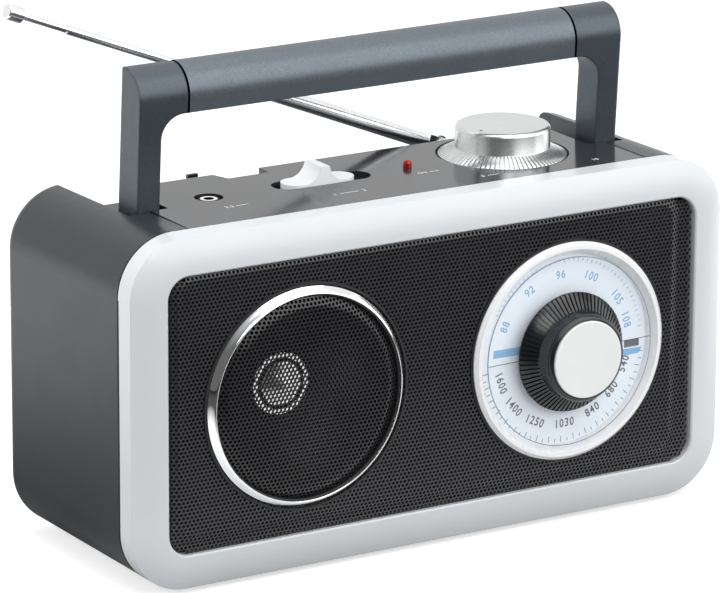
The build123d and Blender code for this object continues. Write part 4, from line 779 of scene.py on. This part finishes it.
def black_rings():
    """A black band round the inside of the speaker's ring, and a black lip outside each ring."""
    bore = SPEAKER_RING_BORE
    sheet = FIELD_Y - RAISED_Y
    inner_band = [
        (bore - 0.6, 0.0),
        (bore - TRIM_GAP, 0.0),
        (bore - TRIM_GAP, RING_PROUD - 0.5),
        (bore - 0.35, RING_PROUD - 0.6),
        (bore - 0.6, RING_PROUD - 0.9),
    ]
    lip = [
        (RING_RADIUS + TRIM_GAP, sheet),
        (RING_RADIUS + 0.95, sheet),
        (RING_RADIUS + 0.85, sheet + 0.45),
        (RING_RADIUS + TRIM_GAP, sheet + 0.6),
    ]
    rings = {
        "speaker_ring_inner_band": (inner_band, on_speaker),
        "speaker_ring_lip": (lip, on_speaker),
        "dial_ring_lip": (lip, on_dial),
    }
    for name, (profile, place) in rings.items():
        mesh_piece(name, placed(turned(profile, steps=120), place), "case", "inner_black", sharp=25)


def dust_cap_groove():
    """Thin dark ring round the foot of the speaker's cap."""
    height = FIELD_Y - CAP_SEAT
    profile = rectangle(*GROOVE_RADII, height, height + INK)
    shape = placed(turned(profile, steps=90), on_speaker)
    mesh_piece("dust_cap_groove", shape, "case", "inner_black")


# Dial printing
def radial_ticks(first, last, step, radius, lengths):
    """Short lines round the dial, their lengths repeating in turn."""
    ticks = []
    count = int(abs(last - first) / step) + 1
    way = 1 if last > first else -1
    for k in range(count):
        length = lengths[k % len(lengths)]
        line = strip(-length, 0.0, -TICK_WIDTH / 2, TICK_WIDTH / 2)
        ticks.append(spun(line, first + way * k * step, radius))
    return ticks


def dial_numbers(numbers, tops_out):
    """Numbers set round the dial, with their tops outward or towards the centre."""
    shapes = []
    quarter = -90 if tops_out else 90
    for words, angle in numbers.items():
        upright = spun(lettering(words, DIGIT_HEIGHT), quarter)
        shapes.append(spun(upright, angle, NUMBER_RADIUS))
    return shapes


def print_on_dial(name, shapes, ink):
    mesh_piece(name, placed(merged(shapes), on_dial), "case", "dial_white", ink)


def dial_printing():
    """Two scales of numbers and ticks, parted by blue bands at the sides."""
    print_on_dial("fm_scale", dial_numbers(FM_NUMBERS, True) + radial_ticks(*FM_TICKS), "ink_blue")
    print_on_dial("am_scale", dial_numbers(AM_NUMBERS, False) + radial_ticks(*AM_TICKS), "ink_black")
    print_on_dial("dial_bands", [prism(band, 0.0, INK) for band in (LEFT_BAND, RIGHT_BAND)], "ink_blue")
    print_on_dial("dial_window_mark", [strip(*WINDOW_MARK)], "ink_black")


def pointer_line():
    """Hairline across the clear disc on both sides of the knob, on its front face."""
    end = POINTER_RADIUS - HAIRLINE_INSET
    half = HAIRLINE_WIDTH / 2
    lines = [strip(HAIRLINE_START, end, -half, half), strip(-end, -HAIRLINE_START, -half, half)]
    shape = placed(spun(merged(lines), HAIRLINE_ANGLE), on_disc)
    mesh_piece("pointer_line", shape, "tuning", "pointer_clear", "ink_black")


def pointer_rim():
    """Dark edge of the clear disc: painted shade standing in for the shade it gathers round it."""
    profile = [
        (POINTER_RADIUS, -0.25),
        (POINTER_RADIUS + 0.12, -0.2),
        (POINTER_RADIUS + 0.12, 0.02),
        (POINTER_RADIUS - 0.18, 0.03),
        (POINTER_RADIUS - 0.18, 0.005),
    ]
    shape = placed(turned(profile, steps=160), on_disc)
    mesh_piece("pointer_rim", shape, "tuning", "pointer_clear", "disc_edge_painted_shade", sharp=30)


# Marks and seams
def control_marks():
    """Small white marks on the panel: plain numbers, a short word and lines."""
    marks = [moved(lettering(words, height), x, y) for words, height, x, y in PANEL_WORDS]
    half = PANEL_LINE_WIDTH / 2
    marks += [strip(start, end, y - half, y + half) for start, end, y in PANEL_LINES]
    mesh_piece("control_marks", placed(merged(marks), on_panel), "case", "panel_grey", "ink_white")


def panel_seam_shadow():
    """Black strip of painted shadow in the seam at the panel's right end."""
    outline = rectangle(PANEL_END, PANEL_END + SEAM_SHADOW_WIDTH, *SEAM_SHADOW_ENDS)
    mesh_piece("panel_seam_shadow", placed(prism(outline, -SEAM_SHADOW_DEPTH, INK), on_panel), "case", "inner_black")


def bezel_shadow_line():
    """Black line of painted shadow in the seam between the case and the bezel, down both sides and along
    the bottom.
    """
    half_width = CASE_WIDTH / 2 - CASE_CORNER
    half_height = CASE_HEIGHT / 2 - CASE_CORNER
    path = [(-half_width, half_height, 180)]
    for start, x in ((180, -half_width), (270, half_width)):
        path += [(x, -half_height, start + 90 * step / SEAM_STEPS) for step in range(SEAM_STEPS + 1)]
    path.append((half_width, half_height, 360))
    points = []
    faces = []
    for x, z, angle in path:
        for out, y in SEAM_SECTION:
            reach = CASE_CORNER + out
            across = x + reach * math.cos(math.radians(angle))
            up = Z_MID + z + reach * math.sin(math.radians(angle))
            points.append((across, SEAM_Y + y, up))
    sides = len(SEAM_SECTION)
    for k in range(len(path) - 1):
        a = k * sides
        b = a + sides
        for side in range(sides):
            after = (side + 1) % sides
            faces.append((a + side, a + after, b + after, b + side))
    mesh_piece("bezel_seam_shadow", (points, faces), "case", "inner_black")


def grip_outline():
    """The grip's side view as (y, z) points about the handle's pivot, a little outside its surface."""
    half = GRIP_DEPTH / 2
    low = HANDLE_TOP - GRIP_HEIGHT
    points = [(-half - INK, low - INK), (half + INK, low - INK)]
    rounds = ((half - GRIP_EDGE, GRIP_EDGE, 0), (GRIP_ROUND - half, GRIP_ROUND, 90))
    for y, radius, start in rounds:
        reach = radius + INK
        for step in range(GRIP_STEPS + 1):
            angle = math.radians(start + 90 * step / GRIP_STEPS)
            points.append((y + reach * math.cos(angle), HANDLE_TOP - radius + reach * math.sin(angle)))
    return points


def grip_seam_shadows():
    """Black line of painted shadow round the handle where the grip meets each elbow."""
    cos = math.cos(math.radians(HANDLE_LEAN))
    sin = math.sin(math.radians(HANDLE_LEAN))
    left = (-GRIP_END - GRIP_SEAM_OUT, -GRIP_END + GRIP_SEAM_IN)
    right = (GRIP_END - GRIP_SEAM_IN, GRIP_END + GRIP_SEAM_OUT)

    def leaned(y, z, x):
        return (x, PIVOT_Y + y * cos - z * sin, PIVOT_Z + y * sin + z * cos)

    bands = [prism(grip_outline(), *ends) for ends in (left, right)]
    mesh_piece("grip_seam_shadows", placed(merged(bands), leaned), "handle", "inner_black", "seam_shadow_black")


def volume_mark():
    """Small dark dimple mark on the volume knob's top."""
    profile = [(0.05, 0.0), (0.55, 0.0), (0.45, INK), (0.05, INK)]
    top = VOLUME_HEIGHT - VOLUME_MARK_SUNK
    dimple = moved(turned(profile, steps=24), *VOLUME_MARK)
    shape = placed(dimple, lambda u, v, h: on_panel(u, v, h + top))
    mesh_piece("volume_mark", shape, "volume", "part_grey")


# Turned pieces with ribs
def ribbed_turn(profile, ribs, place):
    """A turned outline of (radius, height, rib depth) whose ribs cut in by rib depth, closed at its end."""
    shares = len(RIB_SHARES)
    steps = ribs * shares
    points = []
    faces = []
    for radius, height, depth in profile:
        for step in range(steps):
            share = step % shares
            angle = 2 * math.pi * (step // shares + RIB_SHARES[share]) / ribs
            cut = depth if share in RIB_VALLEY else 0.0
            reach = radius - cut
            points.append(place(reach * math.cos(angle), reach * math.sin(angle), height - cut * RIB_DROP))
    for ring in range(len(profile) - 1):
        a = ring * steps
        b = a + steps
        for step in range(steps):
            after = (step + 1) % steps
            faces.append((a + step, a + after, b + after, b + step))
    faces.append(tuple((len(profile) - 1) * steps + step for step in range(steps)))
    return points, faces


def tuning_knob():
    """Black knob with a ribbed conical skirt, drawn from its foot to its front rim."""
    profile = [
        (3.1, 0.0, 0.0),
        (20.9, 0.0, 0.0),
        (21.2, 0.25, 0.0),
        (21.2, 0.8, 0.0),
        (21.1, 0.95, 0.5),
        (18.2, 2.9, 0.6),
        (16.3, 4.25, 0.5),
        (15.75, 4.6, 0.0),
        (15.6, 5.0, 0.0),
        (15.5, 8.9, 0.0),
        (15.35, 9.8, 0.0),
        (14.95, 10.45, 0.0),
        (14.4, 10.8, 0.0),
        (13.95, 10.9, 0.0),
        (13.8, 10.6, 0.0),
        (13.7, 10.35, 0.0),
    ]
    shape = ribbed_turn(profile, TUNING_RIBS, on_disc)
    knob = mesh_piece("ribbed_tuning_knob", shape, "tuning", "knob_black", sharp=38)
    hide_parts("tuning_knob")


def volume_knob():
    """Silver knob with a ribbed flange, drawn from its foot to its top."""
    foot = VOLUME_FOOT
    top = VOLUME_HEIGHT
    profile = [
        (13.0, foot, 0.0),
        (22.3, foot, 0.0),
        (22.5, foot + 0.2, 0.0),
        (22.5, -0.2, 0.6),
        (22.4, 0.0, 0.7),
        (19.6, 1.4, 0.7),
        (17.3, 2.5, 0.5),
        (16.8, 2.75, 0.0),
        (16.7, 3.0, 0.0),
        (16.65, top - 1.4, 0.0),
        (16.5, top - 0.8, 0.0),
        (16.05, top - 0.3, 0.0),
        (15.4, top - 0.03, 0.0),
        (14.9, top, 0.0),
        (14.5, top - 0.06, 0.0),
        (14.2, top - 0.1, 0.0),
    ]
    shape = ribbed_turn(profile, VOLUME_RIBS, lambda u, v, h: on_panel(VOLUME_X + u, CONTROL_Y + v, h))
    knob = mesh_piece("ribbed_volume_knob", shape, "volume", "volume_silver", sharp=38)
    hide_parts("volume_knob")


# Stage
def camera():
    """The photograph's viewpoint, set back from its aim along its angles and moved sideways."""
    azimuth = math.radians(CAMERA_AZIMUTH)
    elevation = math.radians(CAMERA_ELEVATION)
    roll = math.radians(CAMERA_ROLL)
    level = Vector((math.cos(azimuth), -math.sin(azimuth), 0.0))
    ahead = Vector((math.sin(azimuth), math.cos(azimuth), 0.0))
    back = Vector((0.0, 0.0, math.sin(elevation))) - ahead * math.cos(elevation)
    upright = back.cross(level)
    right = level * math.cos(roll) + upright * math.sin(roll)
    up = upright * math.cos(roll) - level * math.sin(roll)
    spot = Vector(CAMERA_AIM) + right * CAMERA_SHIFT[0] + up * CAMERA_SHIFT[1] + back * CAMERA_DISTANCE
    data = bpy.data.cameras.new("camera")
    data.lens = CAMERA_LENS
    data.sensor_width = CAMERA_SENSOR
    data.sensor_fit = "HORIZONTAL"
    data.clip_start, data.clip_end = CAMERA_CLIP
    viewer = bpy.data.objects.new("camera", data)
    turn = Matrix((right, up, back)).transposed().to_4x4()
    viewer.matrix_world = Matrix.Translation(spot * MM) @ turn
    bpy.context.scene.collection.objects.link(viewer)
    bpy.context.scene.camera = viewer


def sight(tree):
    """Whether the camera sees a surface, and whether a reflection or glass does."""
    path = tree.nodes.new("ShaderNodeLightPath")
    mirrored = joined(tree, "MAXIMUM", path.outputs["Is Glossy Ray"], path.outputs["Is Transmission Ray"])
    return path.outputs["Is Camera Ray"], mirrored


def floor_material():
    """Pale floor, white to the camera. Reflections alone see painted shade in front and near the radio's
    back left, and a painted glow elsewhere, stronger at the right.
    """
    material, tree, bsdf = shader("floor")
    bsdf.inputs["Roughness"].default_value = FLOOR_ROUGHNESS
    bsdf.inputs["Specular IOR Level"].default_value = 0.0
    bsdf.inputs["Emission Color"].default_value = (1.0, 1.0, 1.0, 1.0)
    place = coordinates(tree)
    across = axes(tree, place)
    # Painted shade for reflections: dark in front of the radio and in a patch near its back left
    reach = measured(tree, "DISTANCE", place, PAINTED_SHADE_PLACE)
    behind = spread(tree, across["Y"], 0.0, 1.0, *FLOOR_PAINTED_SHADE_EDGE)
    clear_of_painted_shade = spread(tree, reach, PAINTED_SHADE_LEVEL, 1.0, *PAINTED_SHADE_REACH)
    floor_outside_painted_shade = joined(tree, "MULTIPLY", behind, clear_of_painted_shade)
    seen, mirrored = sight(tree)
    plain = mixed(tree, seen, FLOOR_LIT, FLOOR_SEEN)
    level = mixed(tree, mirrored, plain, spread(tree, floor_outside_painted_shade, *FLOOR_MIRRORED, 0.0, 1.0))
    paint = tree.nodes.new("ShaderNodeCombineColor")
    for channel in ("Red", "Green", "Blue"):
        tree.links.new(level, paint.inputs[channel])
    tree.links.new(paint.outputs["Color"], bsdf.inputs["Base Color"])
    # Painted glow for reflections, away from the painted shade and stronger at the right
    painted_glow_open = spread(tree, floor_outside_painted_shade, 0.0, PAINTED_OPEN_GLOW, PAINTED_OPEN_GLOW_FROM, 1.0)
    painted_glow_right = joined(tree, "MULTIPLY", behind, spread(tree, across["X"], 0.0, PAINTED_RIGHT_GLOW, *PAINTED_RIGHT_GLOW_EDGE))
    plain_glow = mixed(tree, seen, 0.0, FLOOR_SEEN_GLOW)
    glow = mixed(tree, mirrored, plain_glow, joined(tree, "MAXIMUM", painted_glow_open, painted_glow_right))
    tree.links.new(glow, bsdf.inputs["Emission Strength"])
    return material


def floor():
    """A wide square floor under the radio."""
    corners = [(x, y, 0.0) for x, y in rectangle(-FLOOR_HALF, FLOOR_HALF, -FLOOR_HALF, FLOOR_HALF)]
    mesh = bpy.data.meshes.new("floor")
    mesh.from_pydata(corners, [], [(0, 1, 2, 3)])
    mesh.materials.append(floor_material())
    piece = bpy.data.objects.new("floor", mesh)
    bpy.context.scene.collection.objects.link(piece)


def world():
    """Soft grey light all round, white to the camera, with a dark place in front that reflections see."""
    sky = bpy.data.worlds.new("studio")
    bpy.context.scene.world = sky
    sky.use_nodes = True
    tree = sky.node_tree
    background = tree.nodes["Background"]
    background.inputs["Color"].default_value = (1.0, 1.0, 1.0, 1.0)
    place = tree.nodes.new("ShaderNodeTexCoord")
    towards = measured(tree, "DOT_PRODUCT", place.outputs["Generated"], DARK_SIDE)
    reflected = spread(tree, towards, *WORLD_MIRRORED, *DARK_SPREAD)
    seen, mirrored = sight(tree)
    around = mixed(tree, mirrored, WORLD_LIT, reflected)
    tree.links.new(mixed(tree, seen, around, WORLD_SEEN), background.inputs["Strength"])


def softbox(name, place, aim, size, power, mirrored):
    """A square area lamp at a place, turned towards aim, seen in reflections or not."""
    data = bpy.data.lights.new(name, "AREA")
    data.shape = "SQUARE"
    data.size = size
    data.energy = power
    lamp = bpy.data.objects.new(name, data)
    lamp.location = place
    lamp.rotation_euler = (Vector(aim) - Vector(place)).to_track_quat("-Z", "Y").to_euler()
    lamp.visible_glossy = mirrored
    bpy.context.scene.collection.objects.link(lamp)


def studio():
    for name, row in LAMPS.items():
        softbox(name, *row)


dress_nodes()
grille()
speaker_ring()
black_rings()
dial_printing()
pointer_line()
pointer_rim()
dust_cap_groove()
control_marks()
panel_seam_shadow()
bezel_shadow_line()
grip_seam_shadows()
volume_mark()
tuning_knob()
volume_knob()
camera()
floor()
world()
studio()
bpy.context.scene.view_settings.view_transform = "Standard"
